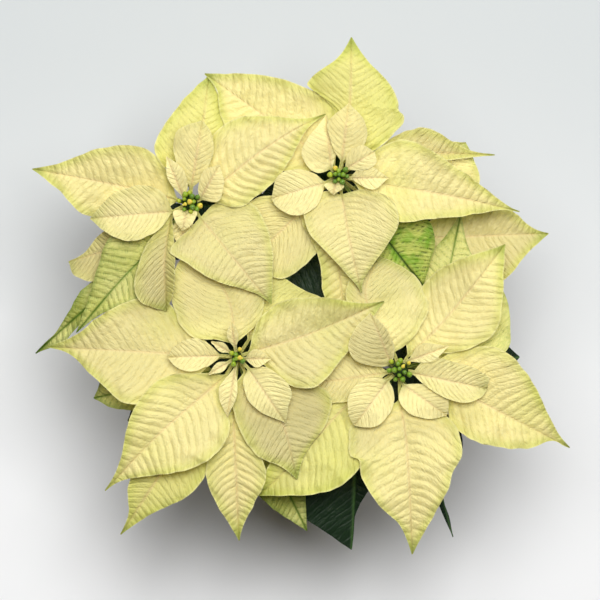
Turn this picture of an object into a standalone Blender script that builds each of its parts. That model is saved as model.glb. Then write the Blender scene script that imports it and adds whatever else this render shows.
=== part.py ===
"""Potted poinsettia: a pot of soil, one branched stem, four heads of pale bracts and green leaves below.

Lengths are in millimetres and become metres when a mesh is made. The origin is the middle of the pot's
underside, +Z is up. Every blade is drawn in plan and then given its height, from the top of the plant
downwards, so that each one lies clear below the blades that cover it.
"""
import math
from collections import namedtuple

import bmesh
import bpy
import numpy as np
from mathutils import Matrix, Vector

MM = 0.001
CLEARANCE = 0.3

POT_HEIGHT = 118.0
POT_FOOT_RADIUS = 54.0
POT_MOUTH_RADIUS = 72.0
POT_WALL = 2.0
POT_FLOOR = 3.0
RIM_HEIGHT = 10.0
RIM_PROUD = 3.0
EDGE_ROUND = 1.2
DRAIN_COUNT = 6
DRAIN_RADIUS = 5.0
DRAIN_CIRCLE = 38.0
DRAIN_SIDES = 8
POT_SEGMENTS = 32

SOIL_BELOW_MOUTH = 14.0
SOIL_DOME = 3.0
SOIL_DOME_SHOULDER = 2.4
SOIL_SEGMENTS = 28

TRUNK_RADIUS = 6.0
TRUNK_BURIED = 42.0
CROWN_HEIGHT = 140.0
CROWN_RADIUS = 9.0
CROWN_FLARE_FOOT = 16.0
CROWN_FLARE_TOP = 5.0
CROWN_BEVEL = 2.0
TRUNK_SIDES = 16
SHOOT_FOOT_SINK = 4.0
SHOOT_FOOT_OFFSET = 4.5
SHOOT_FOOT_RADIUS = 3.8
SHOOT_TIP_RADIUS = 2.8
SHOOT_BEND_HEIGHT = 164.0
SHOOT_BEND_REACH = 0.42
SHOOT_LEAN_SHARE = 0.75
SHOOT_SAMPLES = 121
SHOOT_UPRIGHT_HEIGHT = 190.0
UPRIGHT_EASE = 22.0
SHOOT_SIDES = 8
SHOOT_RINGS = 9

BUD_COUNT = 9
BUD_RADIUS = 2.2
BUD_HALF_HEIGHT = 3.3
BUD_SPACING = 2.75
BUD_TURN = 137.5
BUD_RISE = 3.4
BUD_FALL = 0.28
BUD_LEAN = 0.06
BUD_SIDES = 6
BUD_LEVELS = ((-0.45, 0.95), (0.5, 0.85))
CLUSTER_DISH_RADIUS = 6.2
CLUSTER_DISH_HEIGHT = 5.0
CLUSTER_DISH_BEVEL = 1.0
CLUSTER_DISH_SIDES = 10
CLUSTER_REACH = 10.0

BLADE_THICKNESS = 0.6
PETIOLE_THICKNESS = 1.6
PETIOLE_HALF_WIDTH = 1.2
TIP_HALF_WIDTHS = (1.0, 0.8, 0.4)
BLADE_GAP = 3.4
PETIOLE_GAP = 1.0
BLADE_SLOPE = 0.30
PETIOLE_SLOPE = 2.0
PETIOLE_RISE = 0.35
PETIOLE_RISE_LIMIT = 8.0
LEAN_EASE = 0.5

PETIOLE_ROWS = 4
BLADE_ROWS = 24
CURVE_STEPS = 16
HALF_COLUMNS = 4
WIDE_ROWS = (0, 4, 6, 10, 15, 20, 25, 28)
WIDE_COLUMNS = (0, 2, 4, 6, 8)
SMALL_ROWS = (0, 4, 7, 13, 20, 28)
SMALL_COLUMNS = (0, 4, 8)
SMALL_LENGTH = 55.0

MAP_HALF = 225.0
MAP_CELL = 1.5
MAP_REACH = 22
MAP_STEPS = 6
STALK_REACH = 3
PUSH_ROUNDS = 8
OPEN_SKY = 1000.0

# Top of each shoot: x, y and height.
HEADS = {
    "a": (-77.0, 68.0, 278.0),
    "b": (27.0, 87.0, 282.0),
    "c": (-44.0, -40.0, 274.0),
    "d": (70.0, -49.0, 272.0),
}

Leaf = namedtuple("Leaf", "name kind base tip one other z fold mid root")


def blade(name, base, tip, one, other, z, fold=(0.1, 0.1), mid=(), kind="bract", root=None):
    """One leaf or bract in plan: base, tip and the points that each edge passes through.

    z holds the heights of the base, the middle and the tip above the top of the shoot, fold how steeply
    each half rises from the midrib. A leaf with a root starts that far up its leaning shoot instead.
    """
    return Leaf(name, kind, base, tip, one, other, z, fold, mid, root)


# Blades in stacking order, the topmost first. The letter in a name is that of its head.
LEAVES = (
    blade("bract_a3", (-76, 78), (-68, 125), ((-84, 90), (-88, 107), (-84, 119)),
          ((-67, 86), (-61, 100), (-61, 115)), (-4, 5, 7), (0.3, 0.2)),
    blade("bract_b2", (29, 96), (34, 137), ((22, 108), (20, 124)), ((45, 108), (45, 124)), (-3, 4, 4),
          (0.3, 0.3)),
    blade("bract_b4", (22, 91), (18, 129), ((12, 89), (3, 96), (2, 107)), ((25, 102), (24, 116)),
          (-5, -2, -6), (0.2, 0.3)),
    blade("bract_c4", (-55, -39), (-93, -40), ((-65, -30), (-77, -27), (-87, -32)),
          ((-64, -46), (-77, -50), (-87, -46)), (-3, 2, -2), (0.15, 0.15)),
    blade("bract_c3", (-36, -48), (-10, -86), ((-40, -57), (-36, -70), (-26, -79)),
          ((-24, -47), (-11, -56), (-6, -65), (-8, -75)), (-3, 2, -4), (-0.1, 0.1)),
    blade("bract_d3", (78, -51), (131, -62), ((90, -40), (100, -41), (118, -46), (131, -54)),
          ((90, -62), (103, -69), (114, -72), (126, -69)), (-2, 4, -1), (0.15, 0.15)),
    blade("bract_d4", (72, -59), (103, -81), ((88, -59), (101, -65), (104, -73)),
          ((69, -69), (76, -79), (91, -83)), (-4, 1, -4), (0.1, 0.1)),
    blade("bract_d5", (62, -56), (38, -88), ((53, -54), (42, -57), (34, -68), (34, -80)),
          ((66, -65), (64, -77), (55, -87), (45, -89)), (-4, 2, -3), (0.1, 0.1)),
    blade("bract_d7", (64, -45), (49, -9), ((57, -47), (42, -44), (34, -35), (38, -21)),
          ((66, -38), (65, -29), (58, -17)), (-4, 2, -1), (-0.1, 0.1)),
    blade("bract_b5", (18, 82), (-20, 71), ((9, 89), (-4, 91), (-16, 86)),
          ((12, 66), (0, 59), (-10, 61), (-17, 66)), (-6, -3, -9), (0.1, 0.1)),
    blade("bract_a2", (-89, 62), (-147, 57), ((-96, 75), (-109, 80), (-127, 76), (-138, 67)),
          ((-98, 50), (-112, 42), (-127, 43), (-138, 49)), (-6, -1, -8), (0.1, 0.1)),
    blade("bract_a5", (-68, 71), (18, 130), ((-69, 91), (-64, 109), (-55, 121), (-35, 129), (0, 127)),
          ((-56, 67), (-40, 66), (-17, 84), (-6, 99), (5, 119)), (-7, 1, -3), (-0.08, -0.15),
          mid=((-35, 98), (-7, 117))),
    blade("bract_a9", (-70, 58), (-20, -3),
          ((-79, 48), (-91, 36), (-88, 31), (-78, 25), (-60, 14), (-32, 5)),
          ((-58, 68), (-35, 69), (-24, 53), (-19, 34), (-19, 11)), (-7, -2, -10), (0.1, -0.1)),
    blade("bract_a10", (-90, 61), (-94, -8), ((-104, 44), (-112, 27), (-116, 8), (-111, -2)),
          ((-88, 44), (-87, 20), (-89, 4)), (-11, -9, -20), (0.15, 0.8), mid=((-95, 27),)),
    blade("bract_b6", (29, 74), (43, 5), ((17, 76), (3, 66), (6, 47), (18, 34), (38, 12)),
          ((45, 77), (62, 72), (69, 57), (64, 43), (46, 17)), (-7, -3, -10), (0.1, 0.1), mid=((35, 40),)),
    blade("bract_a1", (-86, 70), (-188, 92), ((-94, 92), (-112, 107), (-140, 106), (-165, 97)),
          ((-98, 61), (-119, 54), (-143, 57), (-156, 63), (-169, 77)), (-11, -4, -17), (0.15, 0.15),
          mid=((-126, 80),)),
    blade("bract_c2", (-36, -37), (59, -1), ((-31, -18), (-23, -7), (-10, 0), (14, 2), (42, -2)),
          ((-25, -46), (-14, -56), (4, -62), (19, -54), (42, -25)), (-6, -1, -8), (0.25, 0.2),
          mid=((0, -26), (25, -16))),
    blade("bract_b1", (30, 96), (36, 184),
          ((24, 112), (24, 132), (15, 142), (6, 149), (6, 153), (15, 161), (27, 170)),
          ((52, 105), (65, 115), (73, 127), (69, 132), (68, 141), (62, 152), (47, 168)), (-10, -5, -12),
          (0.1, -0.1), mid=((35, 140),)),
    blade("bract_b7", (37, 84), (154, 62), ((44, 98), (65, 111), (82, 110), (112, 91), (143, 68)),
          ((49, 66), (68, 55), (92, 57), (116, 59), (140, 63)), (-10, -6, -18), (0.12, 0.15),
          mid=((70, 79), (110, 72))),
    blade("bract_d8", (66, -37), (55, 31), ((52, -28), (37, -12), (32, 6), (40, 22)),
          ((78, -28), (90, -8), (87, 6), (81, 17), (65, 27)), (-8, -5, -12), (0.05, -0.15),
          mid=((50, -8), (46, 8))),
    blade("bract_c11", (-52, -53), (-137, -134), ((-70, -51), (-98, -55), (-118, -80), (-127, -115)),
          ((-55, -70), (-49, -88), (-58, -107), (-80, -119), (-122, -126)), (-9, -2, -15), (0.25, 0.1),
          mid=((-98, -93),)),
    blade("bract_b3", (24, 94), (-67, 159), ((29, 118), (23, 136), (6, 148), (-17, 156), (-42, 159)),
          ((6, 90), (-14, 91), (-40, 106), (-55, 127), (-58, 146)), (-16, -16, -22), (0.1, 0.05)),
    blade("bract_c1", (-46, -31), (-70, 35),
          ((-58, -28), (-73, -27), (-83, -19), (-88, -8), (-91, 6), (-86, 26)),
          ((-34, -21), (-26, -8), (-27, 6), (-44, 26)), (-11, -11, -18), (0.1, 0.1), mid=((-50, 0),)),
    blade("bract_c10", (-56, -40), (-178, -33),
          ((-70, -25), (-84, -12), (-93, -2), (-106, 2), (-124, -2), (-142, -12), (-157, -24)),
          ((-78, -58), (-100, -70), (-117, -73), (-128, -69), (-148, -51), (-162, -38)), (-12, -6, -19),
          (0.2, 0.12), mid=((-115, -36),)),
    blade("bract_c14", (-39, -50), (-2, -126), ((-48, -66), (-42, -92), (-30, -109), (-15, -116)),
          ((-10, -55), (20, -64), (19, -85), (4, -108)), (-14, -10, -17), (0.1, -0.15),
          mid=((-14, -82),)),
    blade("bract_d9", (76, -39), (144, 39), ((74, -26), (78, -10), (84, 6), (98, 22), (122, 32)),
          ((95, -38), (120, -34), (138, -20), (142, 5), (143, 25)), (-10, -2, -9), (0.15, 0.05),
          mid=((98, -18), (119, 7))),
    blade("bract_b8", (53, 104), (137, 102), ((63, 113), (77, 119), (91, 120), (117, 106)),
          ((60, 95), (80, 94), (105, 98)), (-17, -14, -25), (0.1, 0.5)),
    blade("bract_d1", (70, -70), (79, -179),
          ((53, -80), (37, -87), (34, -100), (35, -109), (41, -112), (44, -126), (56, -145), (70, -158)),
          ((90, -78), (103, -82), (112, -94), (113, -111), (108, -117), (104, -132), (90, -158)),
          (-8, -3, -17), (0.15, 0.15), mid=((75, -105),)),
    blade("bract_b17", (22, 76), (32, -21), ((2, 58), (8, 42), (14, 26), (17, 2)),
          ((36, 60), (42, 30), (40, 3)), (-18, -21, -32), (0.1, 0.1)),
    blade("bract_a6", (-77, 79), (-64, 158), ((-94, 92), (-102, 106), (-95, 123), (-77, 146)),
          ((-60, 95), (-53, 118), (-56, 140)), (-17, -13, -19), (0.1, -0.2), mid=((-69, 119),)),
    blade("bract_a11", (-94, 46), (-158, -23), ((-118, 52), (-134, 44), (-141, 27), (-147, 7)),
          ((-103, 22), (-113, 2), (-140, -10)), (-19, -21, -34), (0.2, 0.1), mid=((-126, 14),),
          kind="turning"),
    blade("bract_d2", (84, -51), (190, -104),
          ((98, -41), (120, -33), (142, -35), (156, -48), (166, -63), (180, -91)),
          ((101, -70), (106, -86), (119, -97), (138, -103), (160, -104), (177, -99)), (-11, -5, -19),
          (0.15, 0.1), mid=((126, -71),)),
    blade("bract_b16", (15, 77), (-35, 27), ((-10, 74), (-34, 70), (-44, 52)),
          ((14, 56), (12, 34), (-12, 15)), (-20, -23, -29), (0.1, 0.1), mid=((-8, 54),)),
    blade("bract_c13", (-47, -76), (-43, -170), ((-56, -90), (-62, -106), (-66, -121), (-62, -137)),
          ((-40, -88), (-33, -101), (-24, -119), (-27, -133), (-39, -157)), (-18, -16, -29),
          (0.15, 0.15)),
    blade("bract_d6", (62, -51), (0, -60), ((48, -40), (30, -34), (12, -42)),
          ((48, -63), (30, -72), (10, -71)), (-14, -16, -21), (0.1, 0.1)),
    blade("bract_d10", (58, -57), (-29, -138), ((34, -58), (8, -70), (-9, -96), (-24, -120)),
          ((60, -80), (52, -104), (31, -129), (12, -136), (-8, -138)), (-14, -14, -25), (0.1, 0.15),
          mid=((31, -76), (-7, -117))),
    blade("bract_c12", (-80, -95), (-127, -166), ((-101, -104), (-120, -127), (-121, -150)),
          ((-66, -104), (-66, -122), (-79, -138), (-105, -151)), (-24, -22, -35), (0.2, 0.1)),
    blade("bract_c15", (-36, -28), (-27, 26), ((-46, -6), (-42, 12)),
          ((-8, -20), (12, -4), (16, 1), (3, 7), (-12, 16)), (-18, -20, -24), (0.1, 0.1)),
    blade("bract_b12", (50, 88), (117, 111), ((66, 104), (92, 112)),
          ((76, 70), (108, 66), (126, 80), (123, 98)), (-24, -26, -32), (0.1, 0.1)),
    blade("bract_b14", (49, 58), (87, 10), ((47, 40), (57, 26), (74, 18)), ((66, 64), (88, 58), (95, 41)),
          (-27, -30, -38), (0.1, 0.1), kind="turning"),
    blade("bract_d11", (92, -42), (114, 61), ((84, -15), (84, 8), (89, 28), (102, 44)),
          ((122, -46), (145, -36), (148, -16), (143, 8), (121, 33)), (-22, -28, -36), (0.1, 0.1),
          kind="turning"),
    blade("bract_b13", (84, 44), (176, 47), ((94, 57), (112, 60), (130, 65), (147, 65), (163, 52)),
          ((100, 24), (110, 12), (124, 9), (143, 13), (161, 33)), (-32, -35, -44), (0.1, 0.15)),
    blade("bract_a12", (-112, 42), (-164, 27), ((-128, 53), (-141, 47), (-152, 34)),
          ((-126, 20), (-144, 13), (-159, 17)), (-24, -32, -42), (0.1, 0.1)),
    blade("bract_a13", (-122, 20), (-188, -38), ((-149, 12), (-164, -9), (-174, -24)),
          ((-128, 2), (-150, -12), (-167, -29)), (-28, -36, -52), (0.4, 0.3), kind="turning"),
    blade("leaf_c17", (-30, -92), (5, -165), ((-38, -108), (-31, -136), (-15, -152)),
          ((-8, -96), (3, -114), (4, -140)), (-38, -50, -64), (0.15, 0.15), kind="turning"),
    blade("leaf_c18", (-62, -50), (-147, -70), ((-82, -30), (-115, -30), (-137, -50)),
          ((-78, -70), (-110, -78), (-132, -77)), (-44, -46, -54), (0.1, 0.1), kind="turning"),
    blade("leaf_c19", (-60, -54), (-124, -87), ((-78, -38), (-102, -50), (-117, -68)),
          ((-64, -80), (-84, -100), (-106, -103)), (-62, -66, -82), (0.1, 0.1), kind="leaf", root=-78),
    blade("leaf_d12", (42, -70), (37, -180), ((12, -82), (-10, -118), (-6, -147), (20, -168)),
          ((52, -92), (54, -124), (40, -154)), (-62, -66, -86), (0.1, 0.1), kind="leaf", root=-93),
    blade("leaf_d13", (84, -72), (111, -172), ((82, -98), (94, -124), (98, -142), (104, -157)),
          ((112, -86), (116, -110), (106, -130), (103, -142), (108, -157)), (-63, -73, -104),
          (-0.3, -0.3), kind="leaf", root=-78),
    blade("leaf_d14", (88, -48), (158, -41), ((104, -20), (128, -16), (144, -28)),
          ((104, -72), (128, -72), (144, -58)), (-56, -60, -80), (0.1, 0.1), kind="leaf", root=-70),
    blade("leaf_a19", (-94, 75), (-165, 86), ((-104, 92), (-130, 101), (-150, 97)),
          ((-106, 60), (-134, 60), (-153, 70)), (-66, -72, -98), (0.12, 0.12), kind="leaf", root=-78),
    blade("leaf_b19", (21, 68), (-30, -22), ((-2, 62), (-24, 40), (-34, 8)),
          ((36, 52), (38, 24), (18, -6), (-6, -18)), (-62, -66, -76), (0.12, 0.12), kind="leaf",
          root=-70),
    blade("leaf_b20", (46, 82), (138, 54), ((62, 98), (98, 94), (126, 78)),
          ((56, 58), (92, 42), (124, 40)), (-72, -78, -104), (0.12, 0.12), kind="leaf", root=-88),
)


def clear_scene():
    """Empty the file of every object."""
    for item in list(bpy.data.objects):
        bpy.data.objects.remove(item, do_unlink=True)


def material(name, colour, roughness, sheen=0.0):
    """A plain Principled material."""
    made = bpy.data.materials.new(name)
    made.use_nodes = True
    shader = made.node_tree.nodes["Principled BSDF"]
    shader.inputs["Base Color"].default_value = (*colour, 1.0)
    shader.inputs["Roughness"].default_value = roughness
    shader.inputs["Sheen Weight"].default_value = sheen
    return made


def mesh_object(name, vertices, faces, look, smooth=False):
    """A closed mesh object from points in millimetres, its faces turned outwards."""
    mesh = bpy.data.meshes.new(name)
    mesh.from_pydata([Vector(point) * MM for point in vertices], [], faces)
    shell = bmesh.new()
    shell.from_mesh(mesh)
    bmesh.ops.recalc_face_normals(shell, faces=shell.faces)
    shell.to_mesh(mesh)
    shell.free()
    mesh.materials.append(look)
    mesh.polygons.foreach_set("use_smooth", [smooth] * len(mesh.polygons))
    made = bpy.data.objects.new(name, mesh)
    bpy.context.collection.objects.link(made)
    return made


def combine(target, others, operation):
    """Apply exact Booleans of the others to the target and remove the others."""
    for other in others:
        step = target.modifiers.new(other.name, "BOOLEAN")
        step.solver = "EXACT"
        step.operation = operation
        step.object = other
        other.hide_render = True
        other.display_type = "WIRE"
    bpy.context.view_layer.update()
    graph = bpy.context.evaluated_depsgraph_get()
    result = bpy.data.meshes.new_from_object(target.evaluated_get(graph), depsgraph=graph)
    target.modifiers.clear()
    target.data = result
    for other in others:
        bpy.data.objects.remove(other, do_unlink=True)
    return target


def lathe(name, profile, segments, look):
    """Turn an outline of (radius, height) points about the upright axis and cap its two end rings."""
    vertices = []
    for radius, height in profile:
        for index in range(segments):
            turn = 2 * math.pi * index / segments
            vertices.append((radius * math.cos(turn), radius * math.sin(turn), height))
    faces = []
    for ring in range(len(profile) - 1):
        low = ring * segments
        for index in range(segments):
            after = (index + 1) % segments
            faces.append((low + index, low + after, low + segments + after, low + segments + index))
    last = (len(profile) - 1) * segments
    faces.append(tuple(range(segments)))
    faces.append(tuple(range(last, last + segments)))
    return mesh_object(name, vertices, faces, look, smooth=True)


def pot_outer_radius(height):
    """Outside radius of the tapered pot at a height above its foot."""
    return POT_FOOT_RADIUS + (POT_MOUTH_RADIUS - POT_FOOT_RADIUS) * height / POT_HEIGHT


def build_pot(look):
    """Tapered pot with a proud rim, a flat underside and a circle of drain holes."""
    rim_foot = POT_HEIGHT - RIM_HEIGHT
    outer = [
        (POT_FOOT_RADIUS - EDGE_ROUND, 0.0),
        (POT_FOOT_RADIUS, EDGE_ROUND),
        (pot_outer_radius(rim_foot), rim_foot),
        (pot_outer_radius(rim_foot) + RIM_PROUD, rim_foot + EDGE_ROUND),
        (POT_MOUTH_RADIUS + RIM_PROUD, POT_HEIGHT - EDGE_ROUND),
        (POT_MOUTH_RADIUS + RIM_PROUD - EDGE_ROUND, POT_HEIGHT),
    ]
    inner = [
        (POT_MOUTH_RADIUS - POT_WALL, POT_HEIGHT),
        (pot_outer_radius(POT_FLOOR) - POT_WALL, POT_FLOOR),
    ]
    pot = lathe("pot", outer + inner, POT_SEGMENTS, look)
    drills = []
    for index in range(DRAIN_COUNT):
        turn = 2 * math.pi * index / DRAIN_COUNT
        drill = lathe(
            f"drain_{index}",
            [(DRAIN_RADIUS, -POT_FLOOR), (DRAIN_RADIUS, 2 * POT_FLOOR)],
            DRAIN_SIDES,
            look,
        )
        drill.matrix_world = Matrix.Translation(
            (DRAIN_CIRCLE * MM * math.cos(turn), DRAIN_CIRCLE * MM * math.sin(turn), 0.0)
        )
        drills.append(drill)
    return combine(pot, drills, "DIFFERENCE")


def soil_height():
    """Height of the soil where it meets the pot."""
    return POT_HEIGHT - SOIL_BELOW_MOUTH


def build_soil(look):
    """Plug of soil that fills the pot, with a blind hole for the trunk."""
    foot = POT_FLOOR + CLEARANCE
    top = soil_height()
    hole = TRUNK_RADIUS + CLEARANCE
    deep = top - TRUNK_BURIED
    profile = [
        (pot_outer_radius(foot) - POT_WALL - CLEARANCE * 2, foot),
        (pot_outer_radius(top) - POT_WALL - CLEARANCE * 2, top),
        (POT_MOUTH_RADIUS / 2, top + SOIL_DOME_SHOULDER),
        (hole, top + SOIL_DOME),
        (hole, deep),
    ]
    return lathe("soil", profile, SOIL_SEGMENTS, look)


def shoot_foot(head):
    """Point on the crown at which a shoot starts."""
    x, y, _ = HEADS[head]
    turn = math.atan2(y, x)
    level = CROWN_HEIGHT - SHOOT_FOOT_SINK
    return np.array((SHOOT_FOOT_OFFSET * math.cos(turn), SHOOT_FOOT_OFFSET * math.sin(turn), level))


def shoot_point(head, share):
    """Point on a shoot's centre line: a leaning curve, then straight up to the head."""
    x, y, top = HEADS[head]
    foot = shoot_foot(head)
    knee = np.array((SHOOT_BEND_REACH * x, SHOOT_BEND_REACH * y, SHOOT_BEND_HEIGHT))
    turn = np.array((x, y, SHOOT_UPRIGHT_HEIGHT))
    upright = np.array((x, y, SHOOT_UPRIGHT_HEIGHT + UPRIGHT_EASE))
    if share >= SHOOT_LEAN_SHARE:
        rest = (share - SHOOT_LEAN_SHARE) / (1 - SHOOT_LEAN_SHARE)
        return upright + (np.array((x, y, top)) - upright) * rest
    part = share / SHOOT_LEAN_SHARE
    rest = 1 - part
    return rest**3 * foot + 3 * rest**2 * part * knee + 3 * rest * part**2 * turn + part**3 * upright


def shoot_radius(share):
    """Radius of a shoot, thinning to the constant radius of its upright end."""
    thicker = max(0.0, 1 - share / SHOOT_LEAN_SHARE)
    return SHOOT_TIP_RADIUS + (SHOOT_FOOT_RADIUS - SHOOT_TIP_RADIUS) * thicker


def shoot_at_height(head, height):
    """Centre and radius of a shoot where it passes a height."""
    shares = np.linspace(0, 1, SHOOT_SAMPLES)
    heights = np.array([shoot_point(head, share)[2] for share in shares])
    share = float(np.interp(height, heights, shares))
    return shoot_point(head, share), shoot_radius(share)


def tube(name, centres, radii, sides, look):
    """Round bar through the centres, capped flat at both ends."""
    vertices = []
    for index, (centre, radius) in enumerate(zip(centres, radii)):
        before = centres[max(index - 1, 0)]
        after = centres[min(index + 1, len(centres) - 1)]
        along = Vector(after - before).normalized()
        across = along.cross(Vector((0.31, 0.95, 0.0))).normalized()
        square = along.cross(across)
        for side in range(sides):
            turn = 2 * math.pi * side / sides
            vertices.append(Vector(centre) + (across * math.cos(turn) + square * math.sin(turn)) * radius)
    faces = []
    for ring in range(len(centres) - 1):
        for side in range(sides):
            after = (side + 1) % sides
            low = ring * sides
            faces.append((low + side, low + after, low + sides + after, low + sides + side))
    last = (len(centres) - 1) * sides
    faces.append(tuple(range(sides)))
    faces.append(tuple(range(last, last + sides)))
    return mesh_object(name, vertices, faces, look, smooth=True)


def build_stem(look):
    """Trunk planted in the soil and the four shoots that branch from its crown, as one body."""
    foot = soil_height() - TRUNK_BURIED + CLEARANCE
    profile = [
        (TRUNK_RADIUS, foot),
        (TRUNK_RADIUS, CROWN_HEIGHT - CROWN_FLARE_FOOT),
        (CROWN_RADIUS, CROWN_HEIGHT - CROWN_FLARE_TOP),
        (CROWN_RADIUS - CROWN_BEVEL, CROWN_HEIGHT),
    ]
    stem = lathe("stem", profile, TRUNK_SIDES, look)
    shoots = []
    for head in HEADS:
        leaning = np.linspace(0.0, SHOOT_LEAN_SHARE, SHOOT_RINGS - 1)
        shares = [*leaning, 1.0]
        centres = [shoot_point(head, share) for share in shares]
        radii = [shoot_radius(share) for share in shares]
        shoots.append(tube(f"shoot_{head}", centres, radii, SHOOT_SIDES, look))
    return combine(stem, shoots, "UNION")


def ellipsoid(name, centre, axis, radius, half_height, look):
    """Egg-shaped bud with flat sides, its long axis along the given direction."""
    sides = BUD_SIDES
    turn = Vector((0, 0, 1)).rotation_difference(Vector(axis))
    vertices = [turn @ Vector((0, 0, -half_height)) + centre]
    for level, width in BUD_LEVELS:
        for side in range(sides):
            angle = 2 * math.pi * side / sides
            out = radius * width
            flat = Vector((out * math.cos(angle), out * math.sin(angle), half_height * level))
            vertices.append(turn @ flat + centre)
    vertices.append(turn @ Vector((0, 0, half_height)) + centre)
    top = len(vertices) - 1
    faces = []
    for side in range(sides):
        after = (side + 1) % sides
        faces.append((0, 1 + after, 1 + side))
        faces.append((top, top - sides + side, top - sides + after))
        for ring in range(len(BUD_LEVELS) - 1):
            low = 1 + ring * sides
            faces.append((low + side, low + after, low + sides + after, low + sides + side))
    return mesh_object(name, vertices, faces, look, smooth=True)


def bud_places(head):
    """Centre and direction of each flower bud, spread like seeds in a head."""
    x, y, top = HEADS[head]
    places = []
    for index in range(BUD_COUNT):
        angle = math.radians(BUD_TURN) * index + x
        out = BUD_SPACING * math.sqrt(index)
        lift = CLUSTER_DISH_HEIGHT + BUD_RISE - BUD_FALL * out
        centre = Vector((x + out * math.cos(angle), y + out * math.sin(angle), top + lift))
        lean = BUD_LEAN * out
        axis = Vector((lean * math.cos(angle), lean * math.sin(angle), 1.0)).normalized()
        places.append((centre, axis))
    return places


def build_flowers(head, look):
    """Cluster of true flowers on top of a shoot: a dish of short stalks and the egg-shaped buds."""
    x, y, top = HEADS[head]
    foot = top + CLEARANCE
    profile = [
        (SHOOT_TIP_RADIUS, foot),
        (CLUSTER_DISH_RADIUS, foot + CLUSTER_DISH_HEIGHT),
        (CLUSTER_DISH_RADIUS - CLUSTER_DISH_BEVEL, foot + CLUSTER_DISH_HEIGHT + CLUSTER_DISH_BEVEL),
    ]
    dish = lathe(f"flowers_{head}", profile, CLUSTER_DISH_SIDES, look)
    dish.data.transform(Matrix.Translation((x * MM, y * MM, 0.0)))
    buds = []
    for index, (centre, axis) in enumerate(bud_places(head)):
        buds.append(ellipsoid(f"bud_{head}{index}", centre, axis, BUD_RADIUS, BUD_HALF_HEIGHT, look))
    return combine(dish, buds, "UNION")


def curve_through(points, count):
    """Smooth curve through plan points, sampled at even steps along its length."""
    given = np.array(points, dtype=float)
    padded = np.vstack([2 * given[0] - given[1], given, 2 * given[-1] - given[-2]])
    fine = []
    for index in range(1, len(padded) - 2):
        p0, p1, p2, p3 = padded[index - 1:index + 3]
        for part in np.linspace(0, 1, CURVE_STEPS, endpoint=False):
            fine.append(
                0.5 * (2 * p1 + (p2 - p0) * part + (2 * p0 - 5 * p1 + 4 * p2 - p3) * part**2
                       + (3 * p1 - p0 - 3 * p2 + p3) * part**3)
            )
    fine.append(given[-1])
    fine = np.array(fine)
    run = np.concatenate([[0.0], np.cumsum(np.linalg.norm(np.diff(fine, axis=0), axis=1))])
    wanted = np.linspace(0, run[-1], count)
    return np.column_stack([np.interp(wanted, run, fine[:, axis]) for axis in (0, 1)])


def keep_width(edge, middle, side, least):
    """Hold an edge at least a given distance from the midrib, on its own side."""
    away = np.sum((edge - middle) * side, axis=1)
    size = np.linalg.norm(edge - middle, axis=1)
    narrow = (size < least) | (away < 0)
    held = edge.copy()
    held[narrow] = (middle + side * np.maximum(least, np.abs(away))[:, None])[narrow]
    return held


def leaf_head(leaf):
    """Letter of the head that a leaf belongs to."""
    return leaf.name.split("_")[1][0]


def leaf_plan(leaf):
    """Plan positions of a leaf as a grid: rows from the stem to the tip, columns from edge to edge."""
    head = leaf_head(leaf)
    base = np.array(leaf.base, dtype=float)
    if leaf.root is None:
        centre, radius = np.array(HEADS[head]), SHOOT_TIP_RADIUS
    else:
        centre, radius = shoot_at_height(head, HEADS[head][2] + leaf.root)
        radius += LEAN_EASE
    toward = base - centre[:2]
    toward = toward / np.linalg.norm(toward)
    start = centre[:2] + toward * (radius + CLEARANCE)
    middle = curve_through([leaf.base, *leaf.mid, leaf.tip], BLADE_ROWS + 1)
    one = curve_through([leaf.base, *leaf.one, leaf.tip], BLADE_ROWS + 1)
    other = curve_through([leaf.base, *leaf.other, leaf.tip], BLADE_ROWS + 1)
    along = np.gradient(middle, axis=0)
    along = along / np.linalg.norm(along, axis=1)[:, None]
    side = np.column_stack([-along[:, 1], along[:, 0]])
    if np.sum((one - middle) * side) < 0:
        side = -side
    least = np.full(BLADE_ROWS + 1, PETIOLE_HALF_WIDTH)
    least[-len(TIP_HALF_WIDTHS):] = TIP_HALF_WIDTHS
    one = keep_width(one, middle, side, least)
    other = keep_width(other, middle, -side, least)
    share = np.linspace(0, 1, PETIOLE_ROWS, endpoint=False)[:, None]
    stalk = start + (base - start) * share
    stalk_side = np.array((-toward[1], toward[0]))
    if np.dot(stalk_side, side[0]) < 0:
        stalk_side = -stalk_side
    one = np.vstack([stalk + stalk_side * PETIOLE_HALF_WIDTH, one])
    other = np.vstack([stalk - stalk_side * PETIOLE_HALF_WIDTH, other])
    middle = np.vstack([stalk, middle])
    columns = []
    for share in np.linspace(1, 0, HALF_COLUMNS, endpoint=False):
        columns.append(middle + (one - middle) * share)
    columns.append(middle)
    for share in np.linspace(1, 0, HALF_COLUMNS, endpoint=False)[::-1]:
        columns.append(middle + (other - middle) * share)
    return np.stack(columns, axis=1)


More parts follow.
